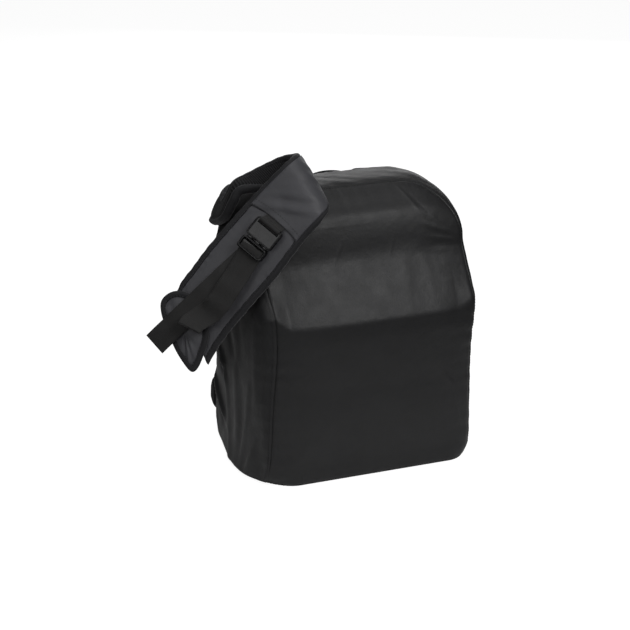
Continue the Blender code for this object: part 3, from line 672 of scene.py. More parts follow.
def dense_outline(half, low, high, low_radius, high_radius, left_half=None, left_low_radius=None,
                  left_high_radius=None):
    """Points (x, z) round an upright rounded rectangle, from the middle of its bottom."""
    def line(start, end, count):
        share = np.arange(count)[:, None] / count
        return np.array(start) * (1 - share) + np.array(end) * share

    def bend(centre, radius, start, count):
        angle = np.radians(start + 90.0 * np.arange(count) / count)
        return np.stack([centre[0] + radius * np.cos(angle), centre[1] + radius * np.sin(angle)], axis=1)

    def side(half, low_radius, high_radius):
        return np.concatenate([
            line((0.0, low), (half - low_radius, low), BOTTOM_POINTS),
            bend((half - low_radius, low + low_radius), low_radius, -90.0, CORNER_POINTS),
            line((half, low + low_radius), (half, high - high_radius), SIDE_POINTS),
            bend((half - high_radius, high - high_radius), high_radius, 0.0, ARC_POINTS),
            line((half - high_radius, high), (0.0, high), TOP_POINTS),
            np.array([[0.0, high]]),
        ])

    right = side(half, low_radius, high_radius)
    left = side(left_half or half, left_low_radius or low_radius, left_high_radius or high_radius)
    return np.concatenate([right, left[1:-1][::-1] * (-1.0, 1.0)])


def upright(outline, depth):
    """The points (x, z) of an outline, stood at a depth or depths."""
    return np.stack([outline[:, 0], np.broadcast_to(depth, len(outline)), outline[:, 1]], axis=1)


def narrow_right(points):
    """The lower right side of the cover hangs a little narrower."""
    share = ramp(0.185 - points[:, 1], 0.06) * (points[:, 0] > 0)
    points[:, 0] *= 1.0 - 0.030 * share**2 * (3.0 - 2.0 * share)
    return points


def seam_outline():
    """The seam seen from the front: the left one bows in at mid height and out at the bottom."""
    points = narrow_right(dense_outline(0.1145, 0.0008, COVER_HEIGHT - 0.0025, 0.014, 0.057,
                                        left_half=0.1150, left_low_radius=0.006, left_high_radius=0.070))
    x, z = points[:, 0], points[:, 1]
    bow = 0.0065 * hump(z - 0.150, 0.070) - 0.0035 * hump(z, 0.030)
    points[:, 0] += bow * ramp(-x - 0.060, 0.040)
    return points


def ledge_climb(x, z):
    """How far the ledge's line lies above its middle height, near the seams."""
    climb = 0.013 * ramp(np.abs(x) - 0.093, 0.016) ** 1.3
    return np.where(x > 0, 0.4 * climb, climb) * hump(z - 0.180, 0.035)


def panel_depth(x, z):
    """Depth of the front away from its seams."""
    return front_depth(z - ledge_climb(x, z))


def seam_depth(x, z):
    """Depth of the seam, which drifts back where the cover turns under the bag."""
    corner = ramp(np.abs(x) - 0.085, 0.028) ** 2
    set_back = SEAM_SET_BACK * (1.0 - (1.0 - corner) * hump(z, 0.020))
    return panel_depth(x, z) + set_back + 0.010 * corner * np.clip(1.0 - z / 0.030, 0.0, 1.0) ** 2


def crown_ease(z):
    """How far back the seam keeps from the panel's profile, so that it climbs the shoulders smoothly."""
    above = z - SHOULDER_HEIGHT
    eased = -0.0435 + 0.0390 * ramp(above, 0.0635) ** 2.2
    return np.where(above > 0.0, eased - front_depth(z) - SEAM_SET_BACK, 0.0) * ramp(above, 0.020)


def seam_line(outline):
    """The sewn edge that the front and the sides share, drawn in by its thread."""
    tangent = closed_tangent(outline)
    low = np.clip(1.0 - outline[:, 1] / 0.022, 0.0, 1.0)
    high = ramp(outline[:, 1] - 0.285, 0.005)
    pull = 0.0014 * (1.0 - 0.85 * low) * (1.0 - 0.8 * high)
    depth = seam_depth(outline[:, 0], outline[:, 1]) + crown_ease(outline[:, 1]) + pull
    return upright(outline - np.stack([tangent[:, 1], -tangent[:, 0]], axis=1) * pull[:, None], depth)


SEAM = seam_outline()
SEAM_ARC = arc(SEAM)
SEAM_LINE = seam_line(SEAM)
CROWN_ARC = SEAM_ARC[BOTTOM_POINTS + CORNER_POINTS + SIDE_POINTS + ARC_POINTS + TOP_POINTS]


def seam_sides(seam):
    """The seam's left and right sides, from the base up to the crown."""
    first, last = BOTTOM_POINTS, BOTTOM_POINTS + CORNER_POINTS + SIDE_POINTS + ARC_POINTS
    return seam[len(seam) - last:len(seam) - first + 1][::-1], seam[first:last + 1]


def pucker(s, distance):
    """Small gathers that the seam's thread pulls into the nylon on both sides of it."""
    uneven = 0.55 + 0.45 * ripple(s, 0.085, 21)
    crown = 1.0 - 0.75 * hump(s - CROWN_ARC, 0.075, 6)
    return crown * (
        0.00036 * uneven * ripple(s, 0.0078, 11) * fade(distance, 0.0060)
        + 0.00028 * ripple(s, 0.019, 12) * fade(distance, 0.016)
        - 0.0009 * hump(distance, 0.0022)
    )


def front_folds(x, z):
    """The front panel's wrinkles: each fold's middle, its direction, half length, width and height."""
    folds = (
        ((0.098, 0.236), 166, 0.024, 0.0026, 0.0006), ((0.093, 0.226), 172, 0.022, 0.0020, 0.0005),
        ((0.089, 0.247), 156, 0.022, 0.0028, 0.0006), ((0.082, 0.258), 140, 0.020, 0.0024, 0.0005),
        ((0.060, 0.277), 122, 0.024, 0.0016, 0.0004), ((0.071, 0.270), 128, 0.018, 0.0018, -0.0003),
        ((0.101, 0.215), 175, 0.016, 0.0022, 0.0004), ((0.100, 0.200), 182, 0.016, 0.0026, 0.0004),
        ((-0.062, 0.208), 72, 0.028, 0.0060, 0.0003), ((-0.036, 0.210), 98, 0.026, 0.0050, 0.0002),
        ((0.016, 0.206), 95, 0.026, 0.0050, 0.0002), ((0.040, 0.206), 82, 0.026, 0.0060, 0.0003),
        ((0.066, 0.204), 96, 0.026, 0.0060, 0.0003), ((-0.028, 0.2625), 0, 0.038, 0.0012, 0.0002),
        ((0.010, 0.238), 4, 0.060, 0.0080, -0.0003), ((0.084, 0.093), 125, 0.010, 0.0016, 0.0006),
        ((0.081, 0.067), 115, 0.009, 0.0015, 0.0005), ((0.094, 0.060), 100, 0.030, 0.0040, 0.0005),
        ((-0.060, 0.060), 84, 0.070, 0.0120, 0.0004), ((0.050, 0.070), 96, 0.070, 0.0140, 0.0004),
        ((-0.102, 0.080), 90, 0.060, 0.0040, -0.0004), ((-0.030, 0.236), 62, 0.010, 0.0016, 0.0003),
        ((0.004, 0.231), 118, 0.009, 0.0014, 0.0003), ((0.030, 0.236), 70, 0.008, 0.0014, 0.0002),
    )
    total = 0.0003 * ripple(x + 0.3 * z, 0.061, 1) * ripple(z - 0.2 * x, 0.072, 2)
    total = total + 0.00006 * ripple(x - 0.5 * z, 0.015, 4) * ripple(z + 0.4 * x, 0.019, 6)
    return folded(x, z, folds, total)


def cover_front():
    """The front panel: rows from the left seam to the right one, with the folds on them."""
    columns, batch = 150, 4000
    left, right = seam_sides(SEAM)
    share = np.linspace(0.0, 1.0, columns + 1)[None, :, None]
    flat = left[:, None] * (1.0 - share) + right[:, None] * share
    x, z = flat[..., 0], flat[..., 1]
    flat = flat.reshape(-1, 2)
    nearest, distance = np.empty(len(flat), int), np.empty(len(flat))
    for start in range(0, len(flat), batch):
        gap = np.linalg.norm(flat[start:start + batch, None] - SEAM[None], axis=2)
        nearest[start:start + batch] = gap.argmin(axis=1)
        distance[start:start + batch] = gap.min(axis=1)
    s, distance = SEAM_ARC[nearest].reshape(x.shape), distance.reshape(x.shape)
    y = panel_depth(x, z)
    y += (seam_depth(x, z) - y) * fade(distance, 0.026) + crown_ease(z) * fade(distance, 0.012)
    points = np.stack([x, y, z], axis=-1)
    height = pucker(s, distance) + front_folds(x, z) * (1.0 - fade(distance, 0.004))
    normal = normals_of(points)
    if normal[len(normal) // 2, columns // 2, 1] > 0:
        normal = -normal
    points = points + normal * height[..., None]
    points[:, 0], points[:, -1] = seam_sides(SEAM_LINE)
    for row, near in ((0, SEAM[:, 1] < 0.004), (-1, SEAM[:, 1] > COVER_HEIGHT - 0.004)):
        order = np.argsort(SEAM[near, 0])
        points[row] = read_at(x[row], SEAM[near, 0][order], SEAM_LINE[near][order])
    points[..., 2] = np.maximum(points[..., 2], 0.0001)
    down = arc(points[:, columns // 2])
    uv = np.stack([x, np.repeat(down[:, None], columns + 1, axis=1)], axis=-1)
    panel = dress(grid("cover_front", points, uv, COVER_NYLON), "cover_nylon", "bag", "cover_front_panel")


def side_folds(y, z, left):
    """Folds in the cover's sides, which hang looser than the front."""
    if left:
        folds = (
            ((0.052, 0.058), 36, 0.036, 0.0045, 0.0042), ((0.060, 0.049), 36, 0.034, 0.0050, -0.0022),
            ((0.040, 0.108), 44, 0.013, 0.0032, 0.0034), ((0.048, 0.102), 52, 0.016, 0.0034, -0.0024),
            ((0.030, 0.096), 70, 0.020, 0.0036, 0.0022), ((-0.008, 0.072), 84, 0.050, 0.0070, 0.0016),
            ((-0.036, 0.062), 100, 0.045, 0.0055, 0.0014), ((-0.022, 0.050), 92, 0.045, 0.0055, -0.0012),
            ((0.014, 0.040), 76, 0.045, 0.0060, 0.0018), ((-0.056, 0.120), 92, 0.050, 0.0060, 0.0009),
            ((-0.050, 0.030), 110, 0.030, 0.0045, 0.0012), ((0.020, 0.150), 60, 0.040, 0.0090, -0.0020),
            ((-0.010, 0.170), 75, 0.045, 0.0090, -0.0012), ((0.066, 0.030), 60, 0.022, 0.0050, 0.0018),
        )
    else:
        folds = (
            ((0.045, 0.060), 150, 0.036, 0.0050, 0.0028), ((0.010, 0.090), 96, 0.060, 0.0080, 0.0016),
            ((-0.030, 0.070), 84, 0.050, 0.0060, 0.0014), ((0.060, 0.150), 80, 0.050, 0.0070, 0.0016),
            ((0.020, 0.190), 110, 0.045, 0.0070, 0.0014), ((-0.040, 0.150), 100, 0.045, 0.0060, 0.0012),
            ((0.030, 0.230), 70, 0.030, 0.0060, 0.0012),
        )
    total = 0.0009 * ripple(y + 0.2 * z, 0.034, 31 + left) * ripple(z, 0.060, 33)
    return folded(y, z, folds, total)


def cover_sides():
    """The sides, top and base in one skin, from the seam back to the gathered hem."""
    shapes = (
        # share of the way back from the seam, then the outline there
        (0.08, 0.1190, 0.0002, 0.2928, 0.015, 0.057, 0.1200, 0.006, 0.072),
        (0.25, 0.1215, 0.0000, 0.2935, 0.016, 0.054, 0.1250, 0.006, 0.075),
        (0.60, 0.1235, 0.0000, 0.2915, 0.018, 0.053, 0.1260, 0.007, 0.075),
        (0.92, 0.1215, 0.0000, 0.2880, 0.020, 0.052, 0.1235, 0.013, 0.074),
        (1.05, 0.1165, 0.0006, 0.2852, 0.022, 0.053, 0.1180, 0.020, 0.071),
    )
    front = seam_depth(SEAM[:, 0], SEAM[:, 1]) + crown_ease(SEAM[:, 1])
    rings = [upright(SEAM, front)]
    for share, *shape in shapes:
        rings.append(upright(narrow_right(dense_outline(*shape)), front + (REAR_DEPTH - front) * share))
    rings.append(upright(dense_outline(0.1115, 0.0062, 0.2815, 0.022, 0.058), EDGE_DEPTH))
    rings.append(upright(dense_outline(0.1085, 0.0095, 0.2785, 0.021, 0.057), CURL_DEPTH))
    places = np.concatenate([np.linspace(0, 1, 14)[:-1], np.linspace(1, 4, 60)[:-1], np.linspace(4, 7, 26)])
    points = curve_at(rings, places)
    s = np.repeat(SEAM_ARC[None], len(points), axis=0)
    travelled = arc(points)
    to_hem = travelled[-1:] - travelled
    normal = normals_of(points)
    normal = normal * np.sign((normal * (points - (0.0, 0.0, 0.15))).sum(axis=-1, keepdims=True))
    height = pucker(s, travelled)
    height += 0.0011 * ripple(s, 0.0125, 41) * fade(to_hem, 0.013)
    height += 0.0009 * ripple(s, 0.030, 42) * fade(to_hem, 0.030)
    x, y, z = points[..., 0], points[..., 1], points[..., 2]
    settle = (1.0 - fade(travelled, 0.006)) * (1.0 - fade(to_hem, 0.012))
    sideways = np.clip(np.abs(normal[..., 0]) * 1.6 - 0.5, 0.0, 1.0)
    height += settle * sideways * np.where(x < 0, side_folds(y, z, True), side_folds(y, z, False))
    crown = np.clip(normal[..., 2] * 2.0 - 0.6, 0.0, 1.0)
    height += settle * crown * 0.0009 * ripple(x + 0.3 * y, 0.034, 51) * ripple(y, 0.045, 52)
    underneath = np.clip(-normal[..., 2] * 3.0 - 1.5, 0.0, 1.0)
    points = points + normal * (height * (1.0 - underneath))[..., None]
    points[0] = SEAM_LINE
    bulge = fade(np.maximum(z, 0.0), 0.030) * hump(y + 0.018, 0.050)
    points[..., 0] -= np.where(x < -0.1, 0.0085 * bulge * (1.0 - fade(travelled, 0.004)), 0.0)
    points[..., 2] = np.maximum(points[..., 2], 0.0002)
    points, travelled, normal = (
        np.concatenate([part, part[:, :1]], axis=1) for part in (points, travelled, normal)
    )
    uv = np.stack([np.repeat(closed_arc(SEAM)[None], len(points), axis=0), travelled], axis=-1)
    gusset = dress(grid("cover_sides", points, uv, COVER_NYLON), "cover_nylon", "bag", "cover_gusset")

    sewn_row = 3
    stitches("cover_seam_stitches", points[sewn_row], normal[sewn_row], "bag",
             pitch=0.0031, length=0.0020, radius=0.00028, material=COVER_THREAD)


def cover_elastic_hem():
    """The gathered tunnel that holds the hem's elastic."""
    outline = dense_outline(0.1075, 0.0105, 0.2775, 0.020, 0.056)
    s = arc(outline)
    path = upright(outline, HEM_DEPTH + 0.0006 * ripple(s, 0.017, 61))
    back = np.array((0.0, 1.0, 0.0))
    side = np.cross(closed_tangent(path), back)
    angle = np.linspace(0.0, 2.0 * math.pi, 15)[:-1]
    radius = 0.0029 * (1.0 + 0.14 * ripple(s, 0.0050, 62) + 0.10 * ripple(s, 0.014, 63))
    turned = side[:, None] * np.cos(angle)[None, :, None] + back * np.sin(angle)[None, :, None]
    rings = path[:, None] + turned * radius[:, None, None]
    rings = np.concatenate([rings, rings[:1]], axis=0)
    uv = uv_grid(np.append(s, s[-1] + 0.003), angle * 0.003)
    hem = grid("cover_hem_tunnel", rings, uv, COVER_NYLON, wrap=True)
    dress(hem, "cover_nylon", "bag", "cover_hem")


# ---------------------------------------------------------------- sling strap
UPPER_EDGE = (
    (-0.073, 0.100, 0.268), (-0.089, 0.096, 0.277), (-0.104, 0.080, 0.275),
    (-0.111, 0.063, 0.272), (-0.113, 0.051, 0.277), (-0.111, 0.045, 0.286),
    (-0.107, 0.040, 0.296), (-0.096, 0.033, 0.305), (-0.082, 0.023, 0.316),
    (-0.067, 0.009, 0.328), (-0.062, -0.011, 0.335), (-0.077, -0.030, 0.334),
    (-0.103, -0.026, 0.309), (-0.131, -0.022, 0.280), (-0.158, -0.019, 0.251),
    (-0.176, -0.018, 0.229), (-0.186, -0.017, 0.217), (-0.192, -0.018, 0.207),
)
LOWER_EDGE = (
    (-0.095, 0.100, 0.231), (-0.111, 0.093, 0.238), (-0.1245, 0.068, 0.245),
    (-0.1275, 0.040, 0.253), (-0.1270, 0.017, 0.266), (-0.1210, 0.009, 0.284),
    (-0.113, 0.007, 0.296), (-0.093, -0.002, 0.298), (-0.073, -0.018, 0.298),
    (-0.055, -0.038, 0.293), (-0.046, -0.058, 0.288), (-0.057, -0.072, 0.280),
    (-0.077, -0.070, 0.259), (-0.104, -0.068, 0.226), (-0.128, -0.065, 0.200),
    (-0.152, -0.062, 0.173), (-0.166, -0.062, 0.156), (-0.176, -0.063, 0.141),
)
STRAP_SAMPLES = 260
BINDING_WIDTH = 0.0068
PAD_SEED = 71

BUCKLE_PLACE = np.array((-0.1100, -0.0468, 0.2598))
UP_STRAP = unit(np.array((0.650, -0.065, 0.757)))
ACROSS = np.array((0.524, -0.623, -0.516))
ACROSS = unit(ACROSS - UP_STRAP * (ACROSS @ UP_STRAP))
OUTWARD = np.cross(ACROSS, UP_STRAP)


def on_strap(across, up, out):
    """Places over the strap, from distances across it, up it and out from it, at the buckle."""
    across, up, out = (np.asarray(part)[..., None] for part in (across, up, out))
    return BUCKLE_PLACE + ACROSS * across + UP_STRAP * up + OUTWARD * out


def strap_stations():
    """The strap's two edges, its width, and its directions across and out of its face."""
    edges = np.array([UPPER_EDGE, LOWER_EDGE])
    places = even_places(edges.mean(axis=0), STRAP_SAMPLES)
    upper, lower = curve_at(edges[0], places), curve_at(edges[1], places)
    across = unit(lower - upper)
    face = unit(np.cross(np.gradient((upper + lower) / 2, axis=0), across))
    return upper, lower, np.linalg.norm(lower - upper, axis=1), across, face


UPPER, LOWER, WIDTH, ACROSS_AT, FACE_AT = strap_stations()
STRAP_ARC = arc((UPPER + LOWER) / 2)


def pad_height(share, station_arc, seed):
    """How far the padding stands out over the strap's middle surface."""
    crown = 0.0032 + 0.0025 * (1.0 - np.abs(2.0 * share - 1.0) ** 3)
    uneven = 0.0004 * ripple(station_arc + 0.02 * share, 0.024, seed)
    uneven = uneven * ripple(station_arc * 0.4 + share * 0.06, 0.03, seed + 1)
    crease = 0.00035 * ripple(station_arc, 0.009, seed + 2) * fade(np.minimum(share, 1.0 - share), 0.05)
    return crown + uneven + crease


def strap_padding():
    """The padding between the bound edges: nylon on its face, mesh on its back."""
    count = 26
    share = np.linspace(0.0, 1.0, count)[None]
    inset = ((BINDING_WIDTH - 0.0022) / WIDTH)[:, None]
    place = inset + (1.0 - 2.0 * inset) * share
    place = np.concatenate([place, place[:, ::-1]], axis=1)
    top, low = (pad_height(share, STRAP_ARC[:, None], seed) for seed in (PAD_SEED, 81))
    height = np.concatenate([top, -low[:, ::-1]], axis=1)
    rings = (
        UPPER[:, None] + (LOWER - UPPER)[:, None] * place[..., None] + FACE_AT[:, None] * height[..., None]
    )
    along = np.broadcast_to(STRAP_ARC[:, None], place.shape)
    uv = np.stack([along, (place - 0.5) * WIDTH[:, None]], axis=-1)
    pad = grid("strap_padding", rings, uv, STRAP_NYLON, wrap=True, caps=True)
    pad.data.materials.append(AIR_MESH)
    face = np.arange(len(pad.data.polygons))
    lining = (face % (2 * count) >= count) & (face < (STRAP_SAMPLES - 1) * 2 * count)
    pad.data.polygons.foreach_set("material_index", lining.astype(np.int32))
    dress(pad, "strap_nylon", "strap", "strap_foam", "strap_outer", "strap_lining", fill=0.7)


def strap_binding(name, edge, inward, node):
    """Tape folded round one edge of the strap, with a row of stitches on each face."""
    half, thick = 0.0047, 0.0009
    outer = [(BINDING_WIDTH, half - 0.0009), (0.0052, half - 0.0001), (0.0030, half), (0.0013, half - 0.0009),
             (0.0003, half - 0.0025), (0.0, 0.0)]
    outer += [(w, -h) for w, h in outer[-2::-1]]
    inner = [(w + thick if w < 0.004 else w, h - math.copysign(thick, h) if abs(h) > 0.001 else h)
             for w, h in outer[::-1]]
    section = np.array(outer + inner)
    wobble = 0.00025 * ripple(STRAP_ARC, 0.016, 91)
    rings = (
        edge[:, None] + inward[:, None] * (section[None, :, :1] + wobble[:, None, None])
        + FACE_AT[:, None] * section[None, :, 1:2]
    )
    around = arc(section)
    uv = uv_grid(STRAP_ARC, around - around[-1] / 2)
    dress(grid(name, rings, uv, BINDING, wrap=True, caps=True), "binding", "strap", node)
    for label, sign in (("face", 1.0), ("back", -1.0)):
        path = edge + inward * 0.0056 + FACE_AT * (sign * (half - 0.0003))
        stitches(name + "_stitches_" + label, path, FACE_AT * sign, "strap")


def strap_patch():
    """The nylon patch over the fold, double stitched along its lower edge."""
    columns, rows, behind_crest = 40, 60, 10.0
    crest = int(np.argmax(((UPPER + LOWER) / 2 - BUCKLE_PLACE) @ UP_STRAP))
    stations = np.arange(STRAP_SAMPLES, dtype=float)
    top, place_uv = np.zeros((rows, columns, 3)), np.zeros((rows, columns, 2))
    inset = (BINDING_WIDTH - 0.0018) / WIDTH
    for column, share in enumerate(np.linspace(0.0, 1.0, columns)):
        place = inset + (1.0 - 2.0 * inset) * share
        line = UPPER + (LOWER - UPPER) * place[:, None]
        climb = (line - BUCKLE_PLACE) @ UP_STRAP
        low = 0.0200 + 0.0032 * math.sin(math.pi * share) ** 0.8
        below = crest + 4 + int(np.argmax(climb[crest + 4:] < low))
        last = below - 1 + (climb[below - 1] - low) / (climb[below - 1] - climb[below])
        at = np.linspace(crest - behind_crest, last, rows)
        travelled = np.interp(at, stations, STRAP_ARC)
        inset_at = np.interp(at, stations, place)
        height = pad_height(inset_at, travelled, PAD_SEED) + 0.0010
        height += 0.0008 * ripple(travelled + 0.05 * share, 0.017, 75) * np.sin(math.pi * share)
        height -= 0.0005 * fade(travelled[-1] - travelled, 0.0015)
        face = read_at(at, stations, FACE_AT)
        top[:, column] = read_at(at, stations, line) + face * height[:, None]
        place_uv[:, column, 0] = travelled
        place_uv[:, column, 1] = (inset_at - 0.5) * np.interp(at, stations, WIDTH)
    bottom = top - face[:, None] * 0.0008
    rings = np.concatenate([top, bottom[:, ::-1]], axis=1)
    uv = np.concatenate([place_uv, place_uv[:, ::-1]], axis=1)
    patch = grid("strap_patch", rings, uv, STRAP_NYLON, wrap=True, caps=True)
    dress(patch, "strap_nylon", "strap", "strap_overlay", fill=0.4)
    normal = np.repeat(face[-1:], columns, axis=0)
    for label, back in (("edge", 1), ("second", 5)):
        stitches("strap_patch_stitches_" + label, top[-1 - back], normal, "strap", pitch=0.0030)


TAB_OUTLINE = (
    (0.0205, -0.1085), (0.0075, -0.0965), (-0.0090, -0.0890), (-0.0260, -0.0895), (-0.0375, -0.0985),
    (-0.0400, -0.1120), (-0.0310, -0.1225), (-0.0160, -0.1310), (0.0015, -0.1400), (0.0180, -0.1455),
    (0.0300, -0.1470), (0.0325, -0.1400), (0.0285, -0.1260),
)


def leaf(shrink):
    """The rounded tab's outline, (across, up) on the strap, drawn in by some distance."""
    count = 84
    closed = np.array(TAB_OUTLINE[-2:] + TAB_OUTLINE + TAB_OUTLINE[:3])
    points = curve_at(closed, np.linspace(2.0, 2.0 + len(TAB_OUTLINE), count + 1)[:-1])
    tangent = closed_tangent(points)
    return points + np.stack([-tangent[:, 1], tangent[:, 0]], axis=1) * shrink


def strap_end_tab():
    """Rounded padded tab over the strap's end, with its bound and stitched edge."""
    rim = leaf(0.0)
    middle = rim.mean(axis=0)
    dimple = 0.0004 * ripple(np.arange(len(rim)) * 0.002, 0.02, 95)
    rings, uv = [], []
    for share, out in ((0.86, 0.0076), (0.90, 0.0098), (0.84, 0.0112), (0.70, 0.0124),
                       (0.5, 0.0130), (0.3, 0.0133), (0.1, 0.0134)):
        ring = middle + (rim - middle) * share
        rings.append(on_strap(*ring.T, out + dimple))
        uv.append(ring)
    pad = grid("end_tab_pad", rings, uv, STRAP_NYLON, wrap=True, caps=True)
    dress(pad, "strap_nylon", "strap", "end_tab", fill=0.6)

    angle = 2.0 * math.pi * np.arange(16) / 16
    cosine, sine = np.cos(angle), np.sin(angle)
    section = np.stack([0.0033 * np.sign(cosine) * np.abs(cosine) ** 0.7,
                        0.0026 * np.sign(sine) * np.abs(sine) ** 0.8], axis=1)
    tape = ring_tube("end_tab_tape", on_strap(*leaf(0.0031).T, 0.0098), OUTWARD, section, BINDING)
    dress(tape, "binding", "strap", "end_tab_binding")
    row = on_strap(*leaf(0.0052).T, 0.0123)
    stitches("end_tab_stitches", np.concatenate([row, row[:1]]),
             np.repeat(OUTWARD[None], len(row) + 1, axis=0), "strap")


# ---------------------------------------------------------------- buckle and webbing
LOOP_PATH = (  # up the strap, out from it
    (0.0225, 0.0058), (0.0216, 0.0072), (0.0204, 0.0082), (0.0193, 0.0110), (0.0188, 0.0145),
    (0.0168, 0.0163), (0.0146, 0.0155), (0.0136, 0.0125), (0.0136, 0.0092),
)
FREE_PATH = (  # across the strap, up it, out from it
    (0.0, -0.0066, 0.0071), (0.0, -0.018, 0.0076), (-0.0015, -0.036, 0.0118), (-0.0045, -0.062, 0.0154),
    (-0.0080, -0.090, 0.0164), (-0.0122, -0.120, 0.0160), (-0.0163, -0.1497, 0.0152),
)
TAIL_PATH = (
    (0.0, -0.0104, 0.0152), (0.0005, -0.0140, 0.0156), (0.001, -0.0176, 0.0153), (0.003, -0.0240, 0.0150),
    (0.0055, -0.0400, 0.0166), (0.0080, -0.058, 0.0198), (0.0100, -0.074, 0.0210), (0.0085, -0.088, 0.0190),
    (0.0050, -0.098, 0.0205), (0.0035, -0.107, 0.0250), (0.0050, -0.113, 0.0290),
)


def strap_webbing():
    """The loop that holds the socket, the free length under the plug, and its folded tail."""
    webbing("buckle_loop_webbing", on_strap(0.0, *np.array(LOOP_PATH).T), ACROSS, 0.0245, 0.0012,
            "strap", "socket_loop", samples=40)
    webbing("free_webbing", on_strap(*np.array(FREE_PATH).T), ACROSS + UP_STRAP * 0.10, 0.025, 0.0014,
            "buckle_male", "webbing_lower", samples=110, waver=0.0003)
    across = ACROSS + UP_STRAP * 0.12
    _, path, side, up = webbing("webbing_tail_end", on_strap(*np.array(TAIL_PATH).T), across, 0.025, 0.0014,
                                "buckle_male", "webbing_tail", samples=100, waver=0.0004)
    webbing("webbing_tail_hem", path[-10:] - up[-10:] * 0.0015, across, 0.0246, 0.0013,
            "buckle_male", samples=12)
    for row, back in enumerate((3, 8)):
        ends = path[-back] + up[-back] * 0.0008 + side[-back] * np.linspace(-0.0110, 0.0110, 24)[:, None]
        stitches("webbing_tail_stitches_%d" % row, ends, np.repeat(up[-back][None], 24, axis=0),
                 "buckle_male", pitch=0.0026, length=0.0018)


def buckle_bars():
    """Rounded bars on the buckle: the socket's lip, and the plug's frame over the webbing."""
    bars = (
        # name, body, half width, low and high end, height over the strap, radius, arch over the webbing
        ("buckle_socket_lip", "strap", 0.0150, -0.0028, 0.0168, 0.0148, 0.0010, 0.0),
        ("buckle_plug_frame", "buckle_male", 0.0139, -0.0178, -0.0068, 0.0158, 0.0014, 0.0018),
    )
    angle = 2.0 * math.pi * np.arange(10) / 10
    for name, body, half, low, high, out, radius, arch in bars:
        ring = dense_outline(half, low, high, 0.0022, 0.0022)[::3]
        rise = arch * ramp(low + 0.003 - ring[:, 1], 0.003)
        section = radius * np.stack([np.cos(angle), np.sin(angle)], axis=1)
        bar = ring_tube(name, on_strap(*ring.T, out + rise), OUTWARD, section, BUCKLE_PLASTIC)
        dress(bar, "buckle_plastic", body)


# ---------------------------------------------------------------- back, inside and small parts
def strip(name, start, end, across, sag, samples, thickness=0.0012):
    """A strip of body nylon from start to end, bellied out in its middle."""
    share = np.linspace(0.0, 1.0, samples)[:, None]
    path = np.array(start) * (1 - share) + np.array(end) * share + np.array(sag) * np.sin(math.pi * share)
    side = np.repeat(unit(np.array(across, float))[None], samples, axis=0)
    up = np.cross(side, unit(np.gradient(path, axis=0)))
    thing = sweep(name, path, side, up, rounded_section(np.linalg.norm(across), thickness), BODY_NYLON)
    return thing


def back_and_inside():
    """What is behind and inside the cover, each in the space of its CAD solid."""
    soft_copy("body_shell", BODY_NYLON, "bag", "body_nylon", voxel=0.0028, smooth=5, uneven=0.0005)
    soft_copy("front_pocket", BODY_NYLON, "bag", "body_nylon", voxel=0.0019, smooth=3)
    soft_copy("lid_panel", BODY_NYLON, "lid", "body_nylon", voxel=0.0018, smooth=4, fill=0.5, uneven=0.0003)
    soft_copy("yoke_panel", BODY_NYLON, "bag", "body_nylon", voxel=0.0009, smooth=3, uneven=0.0002)
    soft_copy("lumbar_pad", AIR_MESH_OBJECT_PAINTED_LIGHTER, "bag", "air_mesh", voxel=0.0026, smooth=8, puff=0.003, fill=0.8)
    for side in ("left", "right"):
        soft_copy("back_pad_" + side, AIR_MESH_OBJECT_PAINTED_LIGHTER, "lid", "air_mesh", voxel=0.0024, smooth=8,
                  puff=0.0035, fill=0.8)
    for place in ("lower", "upper", "middle"):
        soft_copy("divider_" + place, DIVIDER_CLOTH, place + "_divider", "divider_cloth", voxel=0.0016,
                  smooth=4, fill=0.7)
    soft_copy("pocket_zip_tape", BINDING_OBJECT, "bag", "binding", voxel=0.0006, smooth=1, uneven=0.0001)
    for node, voxel, smooth in (("handle_anchor_left", 0.0011, 4), ("handle_anchor_right", 0.0011, 4),
                                ("lower_loop", 0.0006, 3), ("strap_root_tongue", 0.0010, 4)):
        soft_copy(node, BODY_NYLON, "bag", "webbing", voxel, smooth, uneven=0.0001)


def grab_handle():
    """A loop of webbing whose ends meet the bag; it rides on no body, so its middle does not swing."""
    path = [(-0.012, 0.0800, 0.2640), (-0.012, 0.0867, 0.2640), (-0.0115, 0.0940, 0.2641),
            (-0.004, 0.1060, 0.2660), (0.010, 0.1135, 0.2690), (0.024, 0.1155, 0.2700),
            (0.038, 0.1135, 0.2690), (0.052, 0.1060, 0.2660), (0.0595, 0.0940, 0.2641),
            (0.060, 0.0867, 0.2640), (0.060, 0.0800, 0.2640)]
    handle = webbing("grab_handle_webbing", path, (0.0, 0.0, 1.0), 0.0098, 0.0030, None, "grab_handle",
                     samples=100)[0]
    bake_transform(handle)


def coil(name, path, out, node):
    """Zip teeth along a path, each one a small arched wire that rises in the direction out."""
    radius, pitch, reach = 0.0019, 0.0016, 0.0005
    travelled = arc(path)
    middles = evenly(travelled, pitch)
    middle, ahead, behind = (read_at(middles + shift, travelled, path) for shift in (0.0, reach, -reach))
    along = unit(ahead - behind)
    side = np.cross(along, out)
    arch = ((-1.0, -0.4), (-0.7, 0.75), (0.0, 1.0), (0.7, 0.75), (1.0, -0.4))
    levels = [
        [middle + along * forward + side * (radius * across) + out * (radius * rise) for across, rise in arch]
        for forward in (-0.36 * pitch, 0.36 * pitch)
    ]
    dress(short_tubes(name, levels, ZIP_COIL), "zip_coil", "bag", node)


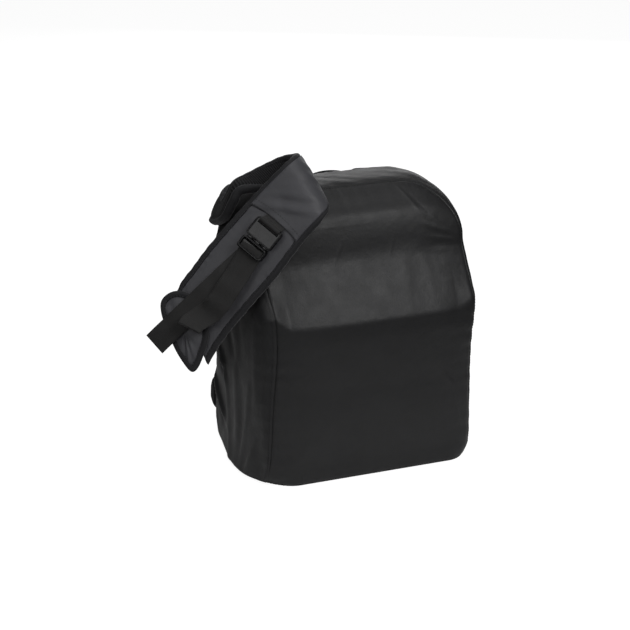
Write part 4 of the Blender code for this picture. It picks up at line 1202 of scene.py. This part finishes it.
def zips():
    """The lid's coil, round three of its sides, and the front pocket's straight one."""
    low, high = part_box("lid_zip_chain")
    ring = dense_outline(0.0985, 0.084, 0.2495, 0.004, 0.0545)
    ring = ring[ring[:, 1] > 0.0875]
    start = int(np.argmax(ring[:, 0] * 1000 - ring[:, 1]))
    path = upright(np.roll(ring, -start, axis=0), (low.y + high.y) / 2)
    coil("lid_zip_coil", path, np.array((0.0, 1.0, 0.0)), "lid_zip_chain")
    low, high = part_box("pocket_zip_chain")
    x, z = np.linspace(low.x, high.x, 40), np.full(40, (low.z + high.z) / 2)
    path = upright(np.stack([x, z], axis=1), POCKET_ZIP_DEPTH)
    coil("pocket_zip_coil", path, np.array((0.0, 0.0, 1.0)), "pocket_zip_chain")


def join_strips():
    """Fabric that crosses the lid's hinge and the strap's sewn root."""
    fold = strip("lid_hinge_fold", (0.0, 0.0735, 0.0700), (0.0, 0.0792, 0.0860), (0.176, 0.0, 0.0),
                 sag=(0.0, 0.0012, 0.0), samples=14)
    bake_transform(fold)
    root = np.array((-0.084, 0.100, 0.2495))
    across = np.array((0.0176, 0.0, 0.0296))
    flap = strip("strap_root_flap", root + (0.020, -0.0255, -0.006), root + (-0.010, 0.0015, 0.004), across,
                 sag=(0.004, 0.004, 0.0), samples=18, thickness=0.0016)
    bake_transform(flap)


def finish_hard_parts():
    """Materials for the CAD solids that stay as they are."""
    looks = (
        (BUCKLE_PLASTIC, ("buckle_socket", "buckle_plug", "prong_left", "prong_right", "ladder_lock")),
        (BOARD_PLASTIC, ("base_board", "front_board", "lid_board")),
        (ZIP_METAL, ("pocket_zip_slider", "pocket_zip_pull", "lid_zip_slider", "lid_zip_pull")),
    )
    for material, nodes in looks:
        for node in nodes:
            for place in NODES[node].material_slots:
                place.link = "OBJECT"
                place.material = material


# ---------------------------------------------------------------- the whole scene
aim_camera()
studio()
cover_front()
cover_sides()
cover_elastic_hem()
strap_padding()
strap_binding("strap_tape_upper", UPPER, ACROSS_AT, "strap_binding_upper")
strap_binding("strap_tape_lower", LOWER, -ACROSS_AT, "strap_binding_lower")
strap_patch()
strap_end_tab()
strap_webbing()
buckle_bars()
back_and_inside()
grab_handle()
zips()
join_strips()
finish_hard_parts()
